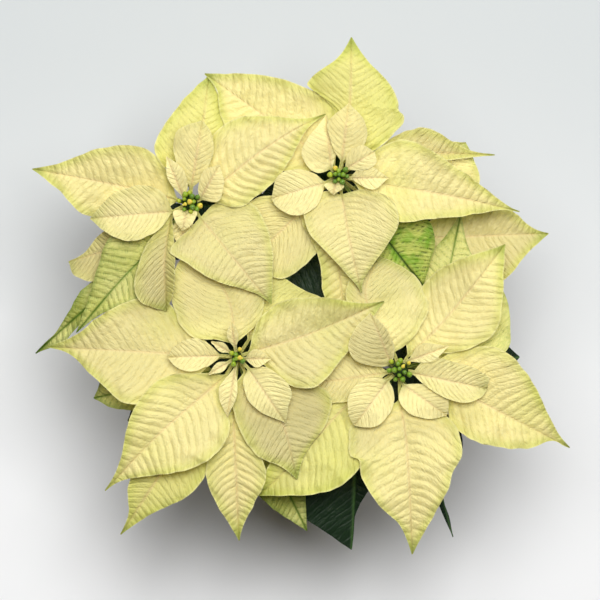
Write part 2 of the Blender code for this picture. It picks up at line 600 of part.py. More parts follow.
def leaf_wish(leaf, plan):
    """Heights that a leaf takes where nothing covers it."""
    rows = np.linspace(0, 1, BLADE_ROWS + 1)
    top = HEADS[leaf_head(leaf)][2]
    low, centre, high = (top + height for height in leaf.z)
    rib = low * (1 - rows) * (1 - 2 * rows) + 4 * centre * rows * (1 - rows) + high * rows * (2 * rows - 1)
    reach = np.linalg.norm(plan[0, HALF_COLUMNS] - plan[PETIOLE_ROWS, HALF_COLUMNS])
    rise = min(PETIOLE_RISE_LIMIT, PETIOLE_RISE * reach)
    start = low - rise if leaf.root is None else top + leaf.root
    share = np.linspace(0, 1, PETIOLE_ROWS, endpoint=False)
    stalk = start + (low - start) * share
    rib = np.concatenate([stalk, rib])
    out = np.linalg.norm(plan - plan[:, HALF_COLUMNS:HALF_COLUMNS + 1], axis=2)
    steep = np.full(plan.shape[1], leaf.fold[0])
    steep[HALF_COLUMNS:] = leaf.fold[1]
    lift = out * steep
    lift[:PETIOLE_ROWS + 1] = 0.0
    return rib[:, None] + lift


def map_index(places):
    """Cells of the plan map under some plan positions."""
    cells = ((places + MAP_HALF) / MAP_CELL).astype(int)
    return cells[..., 0], cells[..., 1]


def spread(ceiling, slope, reach):
    """Let every covered cell hold down its surroundings, less with distance."""
    step = MAP_CELL * slope
    for _ in range(reach):
        ceiling[1:] = np.minimum(ceiling[1:], ceiling[:-1] + step)
        ceiling[:-1] = np.minimum(ceiling[:-1], ceiling[1:] + step)
        ceiling[:, 1:] = np.minimum(ceiling[:, 1:], ceiling[:, :-1] + step)
        ceiling[:, :-1] = np.minimum(ceiling[:, :-1], ceiling[:, 1:] + step)


def refine(grid, times):
    """Grid with linear steps put between its rows and its columns."""
    for axis in (0, 1):
        size = grid.shape[axis]
        wanted = np.linspace(0, size - 1, (size - 1) * times + 1)
        low = np.minimum(wanted.astype(int), size - 2)
        shape = [1] * grid.ndim
        shape[axis] = len(wanted)
        part = (wanted - low).reshape(shape)
        grid = np.take(grid, low, axis) * (1 - part) + np.take(grid, low + 1, axis) * part
    return grid


def smoothed(push):
    """Mean of each value's neighbours in the grid."""
    wide = np.pad(push, 1, mode="edge")
    return (wide[:-2, 1:-1] + wide[2:, 1:-1] + wide[1:-1, :-2] + wide[1:-1, 2:]) / 4


def settle_leaves():
    """Give every leaf its heights, pushing each one below those that cover it."""
    cells = int(2 * MAP_HALF / MAP_CELL)
    blades = np.full((cells, cells), OPEN_SKY)
    stalks = np.full((cells, cells), OPEN_SKY)
    middles = (np.arange(cells) + 0.5) * MAP_CELL - MAP_HALF
    for x, y, top in HEADS.values():
        away = np.hypot(middles[:, None] - x, middles[None, :] - y)
        blades[away < CLUSTER_REACH] = top - PETIOLE_GAP
    spread(blades, BLADE_SLOPE, MAP_REACH)
    settled = []
    for leaf in LEAVES:
        plan = leaf_plan(leaf)
        height = leaf_wish(leaf, plan)
        column, row = map_index(plan)
        roof = np.minimum(blades[column, row], stalks[column, row])
        push = np.maximum(0.0, height - roof)
        if leaf.root is not None:
            push[0] = 0.0
        for _ in range(PUSH_ROUNDS):
            push = np.maximum(push, smoothed(push))
        if leaf.root is not None:
            push[0] = 0.0
        height = height - push
        settled.append((leaf, plan, height))
        dense = refine(np.dstack([plan, height]), MAP_STEPS)
        split = PETIOLE_ROWS * MAP_STEPS
        for part, roofs, gap in (
            (dense[split:], blades, BLADE_GAP + BLADE_THICKNESS),
            (dense[:split], stalks, PETIOLE_GAP + PETIOLE_THICKNESS),
        ):
            column, row = map_index(part[..., :2])
            np.minimum.at(roofs, (column, row), part[..., 2] - gap)
        spread(blades, BLADE_SLOPE, MAP_REACH)
        spread(stalks, PETIOLE_SLOPE, STALK_REACH)
    return settled


def build_leaf(leaf, plan, height, look):
    """Closed thin blade with its stalk, thicker along the stalk."""
    length = np.linalg.norm(np.subtract(leaf.tip, leaf.base))
    small = length < SMALL_LENGTH
    rows = SMALL_ROWS if small else WIDE_ROWS
    columns = SMALL_COLUMNS if small else WIDE_COLUMNS
    upper = np.dstack([plan, height])[np.ix_(rows, columns)]
    thick = np.full((len(rows), len(columns)), BLADE_THICKNESS)
    thick[0] = PETIOLE_THICKNESS
    thick[1] = PETIOLE_THICKNESS
    lower = upper.copy()
    lower[..., 2] -= thick
    high, wide = thick.shape
    vertices = [tuple(point) for point in np.concatenate([upper, lower]).reshape(-1, 3)]
    below = high * wide
    faces = []
    for row in range(high - 1):
        for column in range(wide - 1):
            corner = row * wide + column
            square = (corner, corner + 1, corner + wide + 1, corner + wide)
            for triangle in (square[:3], (square[0], square[2], square[3])):
                faces.append(triangle)
                faces.append(tuple(below + index for index in reversed(triangle)))
    border = [column for column in range(wide)]
    border += [row * wide + wide - 1 for row in range(1, high)]
    border += [(high - 1) * wide + column for column in range(wide - 2, -1, -1)]
    border += [row * wide for row in range(high - 2, 0, -1)]
    for first, second in zip(border, border[1:] + border[:1]):
        faces.append((first, below + first, below + second))
        faces.append((first, below + second, second))
    return mesh_object(leaf.name, vertices, faces, look)


def main():
    """Build every named piece of the plant."""
    clear_scene()
    looks = {
        "pot": material("pot_plastic", (0.42, 0.15, 0.08), 0.5),
        "soil": material("soil_peat", (0.035, 0.022, 0.014), 0.95),
        "stem": material("stem_bark", (0.22, 0.30, 0.09), 0.6),
        "flowers": material("flower_buds", (0.20, 0.30, 0.04), 0.4),
        "bract": material("bract_cream", (0.86, 0.81, 0.45), 0.6),
        "turning": material("leaf_turning", (0.52, 0.56, 0.14), 0.6),
        "leaf": material("leaf_green", (0.02, 0.06, 0.02), 0.5),
    }
    build_pot(looks["pot"])
    build_soil(looks["soil"])
    build_stem(looks["stem"])
    for head in HEADS:
        build_flowers(head, looks["flowers"])
    for leaf, plan, height in settle_leaves():
        build_leaf(leaf, plan, height, looks[leaf.kind])


main()
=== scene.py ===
import math
import random
from collections import namedtuple

import bmesh
import bpy
import numpy as np
from mathutils import Matrix, Vector, noise


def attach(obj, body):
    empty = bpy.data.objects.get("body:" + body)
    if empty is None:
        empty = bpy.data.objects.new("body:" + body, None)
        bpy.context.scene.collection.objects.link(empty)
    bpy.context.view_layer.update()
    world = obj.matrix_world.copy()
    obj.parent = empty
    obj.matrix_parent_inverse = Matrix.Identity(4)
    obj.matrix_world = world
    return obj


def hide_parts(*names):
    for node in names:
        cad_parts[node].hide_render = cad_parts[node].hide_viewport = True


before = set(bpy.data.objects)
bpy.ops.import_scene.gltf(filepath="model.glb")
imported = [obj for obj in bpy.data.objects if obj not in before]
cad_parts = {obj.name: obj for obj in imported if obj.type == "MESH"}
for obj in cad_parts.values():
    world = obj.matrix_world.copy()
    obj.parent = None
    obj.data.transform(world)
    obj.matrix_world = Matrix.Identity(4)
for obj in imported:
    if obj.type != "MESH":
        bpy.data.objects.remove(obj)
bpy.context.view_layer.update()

# The finished look of a potted poinsettia. Sizes are in millimetres unless a comment says otherwise, and MM
# turns them into metres. Every blade follows the plan and the stacking of its CAD node.

MM = 0.001
CLEARANCE = 0.3

POT_HEIGHT = 118.0
POT_FOOT_RADIUS = 54.0
POT_MOUTH_RADIUS = 72.0
POT_WALL = 2.0
POT_FLOOR = 3.0
RIM_HEIGHT = 10.0
RIM_PROUD = 3.0
EDGE_ROUND = 1.2
CORNER_STEPS = 4
FOOT_RING = 1.6
DRAIN_COUNT = 6
DRAIN_RADIUS = 5.0
DRAIN_CIRCLE = 38.0

SOIL_BELOW_MOUTH = 14.0
SOIL_DOME = 3.0

TRUNK_RADIUS = 6.0
TRUNK_BURIED = 42.0
CROWN_HEIGHT = 140.0
SHOOT_FOOT_SINK = 4.0
SHOOT_FOOT_OFFSET = 4.5
SHOOT_FOOT_RADIUS = 3.8
SHOOT_TIP_RADIUS = 2.8
SHOOT_BEND_HEIGHT = 164.0
SHOOT_BEND_REACH = 0.42
SHOOT_LEAN_SHARE = 0.75
SHOOT_SAMPLES = 121
SHOOT_UPRIGHT_HEIGHT = 190.0
UPRIGHT_EASE = 22.0

CLUSTER_REACH = 10.0

CAD_BLADE = 0.6
CAD_PETIOLE = 1.6
PETIOLE_HALF_WIDTH = 1.2
TIP_HALF_WIDTHS = (1.0, 0.8, 0.4)
BLADE_GAP = 3.4
PETIOLE_GAP = 1.0
BLADE_SLOPE = 0.30
PETIOLE_SLOPE = 2.0
PETIOLE_RISE = 0.35
PETIOLE_RISE_LIMIT = 8.0
LEAN_EASE = 0.5

PETIOLE_ROWS = 4
BLADE_ROWS = 24
CURVE_STEPS = 16
HALF_COLUMNS = 4

MAP_HALF = 225.0
MAP_CELL = 1.5
MAP_REACH = 22
MAP_STEPS = 6
STALK_REACH = 3
PUSH_ROUNDS = 8
OPEN_SKY = 1000.0

# Top of each shoot: x, y and height.
HEADS = {
    "a": (-77.0, 68.0, 278.0),
    "b": (27.0, 87.0, 282.0),
    "c": (-44.0, -40.0, 274.0),
    "d": (70.0, -49.0, 272.0),
}

Leaf = namedtuple("Leaf", "name kind base tip one other z fold mid root")
# Of each point of a blade's fine grid: its way along the rib and out from it, the blade's width on that side,
# the way in from the margin, and the phase of the lateral veins.
Fields = namedtuple("Fields", "along out half inward phase")


def blade(name, base, tip, one, other, z, fold=(0.1, 0.1), mid=(), kind="bract", root=None):
    """One leaf or bract in plan: base, tip and the points that each edge passes through.

    z holds the heights of the base, the middle and the tip above the top of the shoot, fold how steeply
    each half rises from the midrib. A leaf with a root starts that far up its leaning shoot instead.
    """
    return Leaf(name, kind, base, tip, one, other, z, fold, mid, root)


# Blades in stacking order, the topmost first. The letter in a name is that of its head.
LEAVES = (
    blade("bract_a3", (-76, 78), (-68, 125), ((-84, 90), (-88, 107), (-84, 119)), ((-67, 86), (-61, 100),
        (-61, 115)), (-4, 5, 7), (0.3, 0.2)),
    blade("bract_b2", (29, 96), (34, 137), ((22, 108), (20, 124)), ((45, 108), (45, 124)), (-3, 4, 4),
        (0.3, 0.3)),
    blade("bract_b4", (22, 91), (18, 129), ((12, 89), (3, 96), (2, 107)), ((25, 102), (24, 116)),
        (-5, -2, -6), (0.2, 0.3)),
    blade("bract_c4", (-55, -39), (-93, -40), ((-65, -30), (-77, -27), (-87, -32)), ((-64, -46), (-77, -50),
        (-87, -46)), (-3, 2, -2), (0.15, 0.15)),
    blade("bract_c3", (-36, -48), (-10, -86), ((-40, -57), (-36, -70), (-26, -79)), ((-24, -47), (-11, -56),
        (-6, -65), (-8, -75)), (-3, 2, -4), (-0.1, 0.1)),
    blade("bract_d3", (78, -51), (131, -62), ((90, -40), (100, -41), (118, -46), (131, -54)), ((90, -62),
        (103, -69), (114, -72), (126, -69)), (-2, 4, -1), (0.15, 0.15)),
    blade("bract_d4", (72, -59), (103, -81), ((88, -59), (101, -65), (104, -73)), ((69, -69), (76, -79),
        (91, -83)), (-4, 1, -4)),
    blade("bract_d5", (62, -56), (38, -88), ((53, -54), (42, -57), (34, -68), (34, -80)), ((66, -65),
        (64, -77), (55, -87), (45, -89)), (-4, 2, -3)),
    blade("bract_d7", (64, -45), (49, -9), ((57, -47), (42, -44), (34, -35), (38, -21)), ((66, -38),
        (65, -29), (58, -17)), (-4, 2, -1), (-0.1, 0.1)),
    blade("bract_b5", (18, 82), (-20, 71), ((9, 89), (-4, 91), (-16, 86)), ((12, 66), (0, 59), (-10, 61),
        (-17, 66)), (-6, -3, -9)),
    blade("bract_a2", (-89, 62), (-147, 57), ((-96, 75), (-109, 80), (-127, 76), (-138, 67)), ((-98, 50),
        (-112, 42), (-127, 43), (-138, 49)), (-6, -1, -8)),
    blade("bract_a5", (-68, 71), (18, 130), ((-69, 91), (-64, 109), (-55, 121), (-35, 129), (0, 127)),
        ((-56, 67), (-40, 66), (-17, 84), (-6, 99), (5, 119)), (-7, 1, -3), (-0.08, -0.15), mid=((-35, 98),
        (-7, 117))),
    blade("bract_a9", (-70, 58), (-20, -3), ((-79, 48), (-91, 36), (-88, 31), (-78, 25), (-60, 14), (-32, 5)),
        ((-58, 68), (-35, 69), (-24, 53), (-19, 34), (-19, 11)), (-7, -2, -10), (0.1, -0.1)),
    blade("bract_a10", (-90, 61), (-94, -8), ((-104, 44), (-112, 27), (-116, 8), (-111, -2)), ((-88, 44),
        (-87, 20), (-89, 4)), (-11, -9, -20), (0.15, 0.8), mid=((-95, 27),)),
    blade("bract_b6", (29, 74), (43, 5), ((17, 76), (3, 66), (6, 47), (18, 34), (38, 12)), ((45, 77),
        (62, 72), (69, 57), (64, 43), (46, 17)), (-7, -3, -10), mid=((35, 40),)),
    blade("bract_a1", (-86, 70), (-188, 92), ((-94, 92), (-112, 107), (-140, 106), (-165, 97)), ((-98, 61),
        (-119, 54), (-143, 57), (-156, 63), (-169, 77)), (-11, -4, -17), (0.15, 0.15), mid=((-126, 80),)),
    blade("bract_c2", (-36, -37), (59, -1), ((-31, -18), (-23, -7), (-10, 0), (14, 2), (42, -2)), ((-25, -46),
        (-14, -56), (4, -62), (19, -54), (42, -25)), (-6, -1, -8), (0.25, 0.2), mid=((0, -26), (25, -16))),
    blade("bract_b1", (30, 96), (36, 184), ((24, 112), (24, 132), (15, 142), (6, 149), (6, 153), (15, 161),
        (27, 170)), ((52, 105), (65, 115), (73, 127), (69, 132), (68, 141), (62, 152), (47, 168)),
        (-10, -5, -12), (0.1, -0.1), mid=((35, 140),)),
    blade("bract_b7", (37, 84), (154, 62), ((44, 98), (65, 111), (82, 110), (112, 91), (143, 68)), ((49, 66),
        (68, 55), (92, 57), (116, 59), (140, 63)), (-10, -6, -18), (0.12, 0.15), mid=((70, 79), (110, 72))),
    blade("bract_d8", (66, -37), (55, 31), ((52, -28), (37, -12), (32, 6), (40, 22)), ((78, -28), (90, -8),
        (87, 6), (81, 17), (65, 27)), (-8, -5, -12), (0.05, -0.15), mid=((50, -8), (46, 8))),
    blade("bract_c11", (-52, -53), (-137, -134), ((-70, -51), (-98, -55), (-118, -80), (-127, -115)),
        ((-55, -70), (-49, -88), (-58, -107), (-80, -119), (-122, -126)), (-9, -2, -15), (0.25, 0.1),
        mid=((-98, -93),)),
    blade("bract_b3", (24, 94), (-67, 159), ((29, 118), (23, 136), (6, 148), (-17, 156), (-42, 159)),
        ((6, 90), (-14, 91), (-40, 106), (-55, 127), (-58, 146)), (-16, -16, -22), (0.1, 0.05)),
    blade("bract_c1", (-46, -31), (-70, 35), ((-58, -28), (-73, -27), (-83, -19), (-88, -8), (-91, 6),
        (-86, 26)), ((-34, -21), (-26, -8), (-27, 6), (-44, 26)), (-11, -11, -18), mid=((-50, 0),)),
    blade("bract_c10", (-56, -40), (-178, -33), ((-70, -25), (-84, -12), (-93, -2), (-106, 2), (-124, -2),
        (-142, -12), (-157, -24)), ((-78, -58), (-100, -70), (-117, -73), (-128, -69), (-148, -51),
        (-162, -38)), (-12, -6, -19), (0.2, 0.12), mid=((-115, -36),)),
    blade("bract_c14", (-39, -50), (-2, -126), ((-48, -66), (-42, -92), (-30, -109), (-15, -116)),
        ((-10, -55), (20, -64), (19, -85), (4, -108)), (-14, -10, -17), (0.1, -0.15), mid=((-14, -82),)),
    blade("bract_d9", (76, -39), (144, 39), ((74, -26), (78, -10), (84, 6), (98, 22), (122, 32)), ((95, -38),
        (120, -34), (138, -20), (142, 5), (143, 25)), (-10, -2, -9), (0.15, 0.05), mid=((98, -18), (119, 7))),
    blade("bract_b8", (53, 104), (137, 102), ((63, 113), (77, 119), (91, 120), (117, 106)), ((60, 95),
        (80, 94), (105, 98)), (-17, -14, -25), (0.1, 0.5)),
    blade("bract_d1", (70, -70), (79, -179), ((53, -80), (37, -87), (34, -100), (35, -109), (41, -112),
        (44, -126), (56, -145), (70, -158)), ((90, -78), (103, -82), (112, -94), (113, -111), (108, -117),
        (104, -132), (90, -158)), (-8, -3, -17), (0.15, 0.15), mid=((75, -105),)),
    blade("bract_b17", (22, 76), (32, -21), ((2, 58), (8, 42), (14, 26), (17, 2)), ((36, 60), (42, 30),
        (40, 3)), (-18, -21, -32)),
    blade("bract_a6", (-77, 79), (-64, 158), ((-94, 92), (-102, 106), (-95, 123), (-77, 146)), ((-60, 95),
        (-53, 118), (-56, 140)), (-17, -13, -19), (0.1, -0.2), mid=((-69, 119),)),
    blade("bract_a11", (-94, 46), (-158, -23), ((-118, 52), (-134, 44), (-141, 27), (-147, 7)), ((-103, 22),
        (-113, 2), (-140, -10)), (-19, -21, -34), (0.2, 0.1), mid=((-126, 14),), kind="turning"),
    blade("bract_d2", (84, -51), (190, -104), ((98, -41), (120, -33), (142, -35), (156, -48), (166, -63),
        (180, -91)), ((101, -70), (106, -86), (119, -97), (138, -103), (160, -104), (177, -99)),
        (-11, -5, -19), (0.15, 0.1), mid=((126, -71),)),
    blade("bract_b16", (15, 77), (-35, 27), ((-10, 74), (-34, 70), (-44, 52)), ((14, 56), (12, 34),
        (-12, 15)), (-20, -23, -29), mid=((-8, 54),)),
    blade("bract_c13", (-47, -76), (-43, -170), ((-56, -90), (-62, -106), (-66, -121), (-62, -137)),
        ((-40, -88), (-33, -101), (-24, -119), (-27, -133), (-39, -157)), (-18, -16, -29), (0.15, 0.15)),
    blade("bract_d6", (62, -51), (0, -60), ((48, -40), (30, -34), (12, -42)), ((48, -63), (30, -72),
        (10, -71)), (-14, -16, -21)),
    blade("bract_d10", (58, -57), (-29, -138), ((34, -58), (8, -70), (-9, -96), (-24, -120)), ((60, -80),
        (52, -104), (31, -129), (12, -136), (-8, -138)), (-14, -14, -25), (0.1, 0.15), mid=((31, -76),
        (-7, -117))),
    blade("bract_c12", (-80, -95), (-127, -166), ((-101, -104), (-120, -127), (-121, -150)), ((-66, -104),
        (-66, -122), (-79, -138), (-105, -151)), (-24, -22, -35), (0.2, 0.1)),
    blade("bract_c15", (-36, -28), (-27, 26), ((-46, -6), (-42, 12)), ((-8, -20), (12, -4), (16, 1), (3, 7),
        (-12, 16)), (-18, -20, -24)),
    blade("bract_b12", (50, 88), (117, 111), ((66, 104), (92, 112)), ((76, 70), (108, 66), (126, 80),
        (123, 98)), (-24, -26, -32)),
    blade("bract_b14", (49, 58), (87, 10), ((47, 40), (57, 26), (74, 18)), ((66, 64), (88, 58), (95, 41)),
        (-27, -30, -38), kind="turning"),
    blade("bract_d11", (92, -42), (114, 61), ((84, -15), (84, 8), (89, 28), (102, 44)), ((122, -46),
        (145, -36), (148, -16), (143, 8), (121, 33)), (-22, -28, -36), kind="turning"),
    blade("bract_b13", (84, 44), (176, 47), ((94, 57), (112, 60), (130, 65), (147, 65), (163, 52)),
        ((100, 24), (110, 12), (124, 9), (143, 13), (161, 33)), (-32, -35, -44), (0.1, 0.15)),
    blade("bract_a12", (-112, 42), (-164, 27), ((-128, 53), (-141, 47), (-152, 34)), ((-126, 20), (-144, 13),
        (-159, 17)), (-24, -32, -42)),
    blade("bract_a13", (-122, 20), (-188, -38), ((-149, 12), (-164, -9), (-174, -24)), ((-128, 2),
        (-150, -12), (-167, -29)), (-28, -36, -52), (0.4, 0.3), kind="turning"),
    blade("leaf_c17", (-30, -92), (5, -165), ((-38, -108), (-31, -136), (-15, -152)), ((-8, -96), (3, -114),
        (4, -140)), (-38, -50, -64), (0.15, 0.15), kind="turning"),
    blade("leaf_c18", (-62, -50), (-147, -70), ((-82, -30), (-115, -30), (-137, -50)), ((-78, -70),
        (-110, -78), (-132, -77)), (-44, -46, -54), kind="turning"),
    blade("leaf_c19", (-60, -54), (-124, -87), ((-78, -38), (-102, -50), (-117, -68)), ((-64, -80),
        (-84, -100), (-106, -103)), (-62, -66, -82), kind="leaf", root=-78),
    blade("leaf_d12", (42, -70), (37, -180), ((12, -82), (-10, -118), (-6, -147), (20, -168)), ((52, -92),
        (54, -124), (40, -154)), (-62, -66, -86), kind="leaf", root=-93),
    blade("leaf_d13", (84, -72), (111, -172), ((82, -98), (94, -124), (98, -142), (104, -157)), ((112, -86),
        (116, -110), (106, -130), (103, -142), (108, -157)), (-63, -73, -104), (-0.3, -0.3), kind="leaf",
        root=-78),
    blade("leaf_d14", (88, -48), (158, -41), ((104, -20), (128, -16), (144, -28)), ((104, -72), (128, -72),
        (144, -58)), (-56, -60, -80), kind="leaf", root=-70),
    blade("leaf_a19", (-94, 75), (-165, 86), ((-104, 92), (-130, 101), (-150, 97)), ((-106, 60), (-134, 60),
        (-153, 70)), (-66, -72, -98), (0.12, 0.12), kind="leaf", root=-78),
    blade("leaf_b19", (21, 68), (-30, -22), ((-2, 62), (-24, 40), (-34, 8)), ((36, 52), (38, 24), (18, -6),
        (-6, -18)), (-62, -66, -76), (0.12, 0.12), kind="leaf", root=-70),
    blade("leaf_b20", (46, 82), (138, 54), ((62, 98), (98, 94), (126, 78)), ((56, 58), (92, 42), (124, 40)),
        (-72, -78, -104), (0.12, 0.12), kind="leaf", root=-88),
)

# Bracts too small for a CAD node of their own, which crowd each head's middle above the larger ones. One,
# small_a14, lies below them and closes a gap.
SMALL_BRACTS = (
    blade("small_a4", (-81, 71), (-93, 100), ((-92, 84),), ((-78, 80), (-82, 92)), (-1, 6, 6)),
    blade("small_a7", (-70, 70), (-56, 94), ((-71, 79), (-67, 90)), ((-57, 69), (-53, 82)), (-1, 6, 8)),
    blade("small_a8", (-79, 63), (-82, 48), ((-88, 62), (-87, 55)), ((-72, 61), (-75, 53)), (-1, 4, 2)),
    blade("small_a14", (-80, 61), (-84, 36), ((-90, 50),), ((-73, 48),), (-12, -12, -16)),
    blade("small_b9", (31, 91), (52, 103), ((34, 103), (44, 107)), ((46, 90), (53, 95)), (-1, 5, 6)),
    blade("small_b10", (34, 85), (62, 85), ((46, 94),), ((50, 77),), (-2, 4, 3)),
    blade("small_b11", (25, 83), (23, 73), ((17, 80),), ((31, 79),), (-1, 3, 2)),
    blade("small_c5", (-45, -35), (-48, -15), ((-51, -25),), ((-43, -24),), (-1, 5, 7)),
    blade("small_c6", (-48, -37), (-62, -29), ((-53, -30),), ((-56, -36),), (-1, 4, 5)),
    blade("small_c7", (-39, -41), (-20, -41), ((-31, -34),), ((-30, -47),), (-1, 4, 4)),
    blade("small_c8", (-49, -43), (-64, -52), ((-58, -44),), ((-54, -50),), (-1, 3, 2)),
    blade("small_c9", (-45, -46), (-51, -82), ((-57, -64),), ((-44, -66),), (-2, 2, -1)),
    blade("small_d10", (75, -43), (104, -32), ((85, -31),), ((92, -43),), (-2, 4, 5)),
)

# Plain near-black green leaves low on the shoots, which only show through the gaps round the heads and from
# the side; their darkness there is partly painted shade.
# Each has the way it points, in degrees, its length, its half width and its depth below the head.
UNDER_LEAVES = (
    ("under_a1", -4, 62, 21, 36),
    ("under_a2", 238, 50, 20, 44),
    ("under_b1", 198, 60, 20, 38),
    ("under_b2", -35, 50, 21, 44),
    ("under_b3", 88, 40, 18, 50),
    ("under_b4", 22, 42, 18, 58),
    ("under_c1", 50, 46, 21, 36),
    ("under_c2", 172, 50, 21, 42),
    ("under_c3", 285, 46, 20, 48),
    ("under_d1", 105, 48, 21, 36),
    ("under_d2", -12, 50, 21, 42),
    ("under_d3", 245, 48, 21, 48),
)
UNDER_NEAR = 3.5
OVAL = ((0.02, 0.45), (0.14, 0.86), (0.34, 1.0), (0.62, 0.72), (0.85, 0.3))

# Linear colours of the blades.
CREAM = (0.93, 0.865, 0.41)
PALE_CREAM = (0.99, 0.93, 0.475)
LIME = (0.84, 0.82, 0.30)
TAN = (0.78, 0.715, 0.335)
# Darker cream for bracts that lie in shade or turn from the light: painted shade.
PAINTED_SHADE_CREAM = (0.84, 0.775, 0.365)
TURNING = (0.62, 0.64, 0.17)
OLIVE = (0.38, 0.41, 0.08)
VIVID_GREEN = (0.26, 0.47, 0.035)
VIVID_LIME = (0.62, 0.68, 0.15)
# Near-black green of the plain leaves: partly their own dark green, partly painted shade.
DEEP_GREEN_AND_SHADE = (0.007, 0.024, 0.007)
GREEN_RIB = (0.06, 0.13, 0.04)
VEIN_GREEN = (0.10, 0.20, 0.02)
MARGIN_GREEN = (0.66, 0.70, 0.125)
TIP_GREEN = (0.34, 0.42, 0.07)
RIM_CREAM = (0.95, 0.92, 0.50)
RIB_PEACH = (0.93, 0.78, 0.46)
STALK_CREAM = (0.62, 0.62, 0.20)
STALK_GREEN = (0.30, 0.36, 0.08)
# Blades with a tone of their own, or with a darker cream that paints the shade on bracts lying in shade or
# turned from the light. A bract is otherwise CREAM, a turning blade TURNING.
TONES_AND_PAINTED_SHADE = {
    LIME: ("bract_a6", "bract_b1", "bract_d10", "bract_c12", "bract_c15"),
    TAN: ("bract_b8", "bract_b13", "bract_c14", "bract_d7", "bract_a10", "bract_a12"),
    # Bracts whose darker cream is painted shade.
    PAINTED_SHADE_CREAM: ("bract_a9", "bract_c2", "bract_c10"),
    OLIVE: ("bract_a13", "leaf_c17"),
    VIVID_GREEN: ("bract_b14",),
}
PALE_BLADES = ("bract_d11", "leaf_c18")

# Steps put between the rows and the columns of a blade's grid, by the least length of blade that gets them. A
# green leaf gets them as if it were no longer than PLAIN_LEAF_LENGTH.
FINE_STEPS = ((90.0, 4, 5), (52.0, 3, 4), (0.0, 2, 4))
PLAIN_LEAF_LENGTH = 80.0
THICKNESS = 0.35
STALK_DEPTH = 1.7
RIB_DEPTH = 0.9
VEIN_SPACINGS = (3.6, 6.3)
VEINS_A_SIDE = 18
VEIN_SLANT = 0.55
VEIN_SWEEP = 0.30
VEIN_WANDER = 0.38
# Heights of the relief on a long bract; LEAF_RELIEF is the share of them that a green leaf has.
QUILT_HEIGHT = 0.92
WRINKLE_HEIGHT = 0.34
CRINKLE_HEIGHT = 0.80
FINE_HEIGHT = 0.15
RIB_GROOVE = 0.45
MARGIN_WAVE = 1.1
WAVE_LENGTH = 21.0
EDGE_RIPPLE = 0.9
LEAF_RELIEF = 0.55
SMALL_BRACT_SEED = 90

# Buds in each head's cluster: how many round the middle and outside, and how far out these are.
CLUSTERS = {"a": (5, 8, 3.1, 5.9), "b": (4, 6, 2.7, 4.7), "c": (3, 4, 2.3, 4.2), "d": (5, 7, 3.3, 6.3)}
# Bud greens, darker at the base and lighter at the crown: partly their own colour, partly painted shade below
# and painted light on top.
BUD_BASES_IN_SHADE = ((0.020, 0.055, 0.006), (0.035, 0.085, 0.008), (0.028, 0.060, 0.010))
BUD_CROWNS_IN_LIGHT = ((0.300, 0.430, 0.030), (0.200, 0.340, 0.025), (0.430, 0.500, 0.040), (0.140, 0.260, 0.030))
RIPE_CROWN = (0.74, 0.66, 0.08)
STIGMA = (0.60, 0.34, 0.04)
CUP_BASE = (0.42, 0.40, 0.04)
BUD_STALK = (0.06, 0.10, 0.015)
# Near-black dish under each cluster: painted shade in the gaps between its buds.
DISH_SHADE_GREEN = (0.015, 0.035, 0.006)
# Rings of a bud, their radius and height in shares of its size. A dish's rings have heights in millimetres.
BUD_OUTLINE = (
    (0.0, -0.6), (0.5, -0.5), (0.82, -0.1), (0.98, 0.35), (1.0, 0.75), (0.92, 1.12), (0.74, 1.42), (0.5, 1.6),
    (0.3, 1.68), (0.16, 1.62), (0.0, 1.54),
)
BUD_TOP = 1.68
DISH_OUTLINE = ((0.45, -1.1), (0.8, -0.3), (0.88, 0.2), (0.62, 1.3), (0.24, 2.9))
BUD_SIDES = 18
STALK_SIDES = 10
STALK_RADII = (0.8, 0.75, 0.8)
DISH_SIDES = 28

TRUNK_RINGS = 70
TRUNK_SIDES = 26
TRUNK_NODE_GAP = 13.0
SHOOT_RINGS = 104
SHOOT_SIDES = 20
SHOOT_NODE_START = 158
SHOOT_NODE_GAP = 17.0
CROWN_SIZE = (8.6, 8.6, 7.4)
SCAR_SIZE = (1.5, 1.5, 1.7)
STEM_VOXEL = 0.62
STEM_FACES_KEPT = 0.4
POT_SIDES = 128
DRAIN_SIDES = 32
SOIL_SIDES = 160
SOIL_RINGS = 46
CRUMB_COUNT = 260
CRUMB_SEED = 11

# Of each kind of blade: its material's name, the share of light that passes through and its colour, the
# roughness, and how much the veins show, with their colour.
PETAL_LOOKS = {
    "bract": ("bract_cream", 0.33, (1.0, 0.87, 0.32, 1), 0.5, 0.36, (0.90, 0.80, 0.60, 1)),
    "turning": ("leaf_turning", 0.24, (0.95, 0.95, 0.30, 1), 0.5, 0.75, (0.38, 0.58, 0.20, 1)),
    "leaf": ("leaf_green", 0.05, (0.6, 1.0, 0.25, 1), 0.56, 0.3, (0.7, 0.8, 0.5, 1)),
}

# The stage, in metres and watts: name, place, size and power of each lamp.
LAMPS = (
    ("key", (0.3, 0.5, 3.1), 1.0, 64.8),
    ("key_left", (-0.3, 0.5, 3.1), 1.0, 29.2),
    ("key_far", (0.0, 0.9, 3.0), 1.0, 7.0),
    ("rake_left", (-0.5, 2.5, 1.5), 0.9, 13.0),
    ("rake_right", (0.8, 2.5, 1.2), 0.9, 26.5),
)
LAMP_AIM = (0, 0, 0.2)
LAMP_COLOUR = (1.0, 0.995, 0.985)
SKY_COLOUR = (0.93, 0.96, 1.0, 1)
SKY_STRENGTH = 0.015
FLOOR_SIZE = 16.0
# Floor greys: darker far off and lighter at the front, a painted fall of light and shade.
FLOOR_FAR_PAINTED_SHADE = (0.578, 0.607, 0.616, 1)
FLOOR_NEAR_PAINTED_LIGHT = (0.815, 0.822, 0.836, 1)
CAMERA_HEIGHT = 3.07
CAMERA_FOCAL = 240.0
SENSOR_WIDTH = 36.0


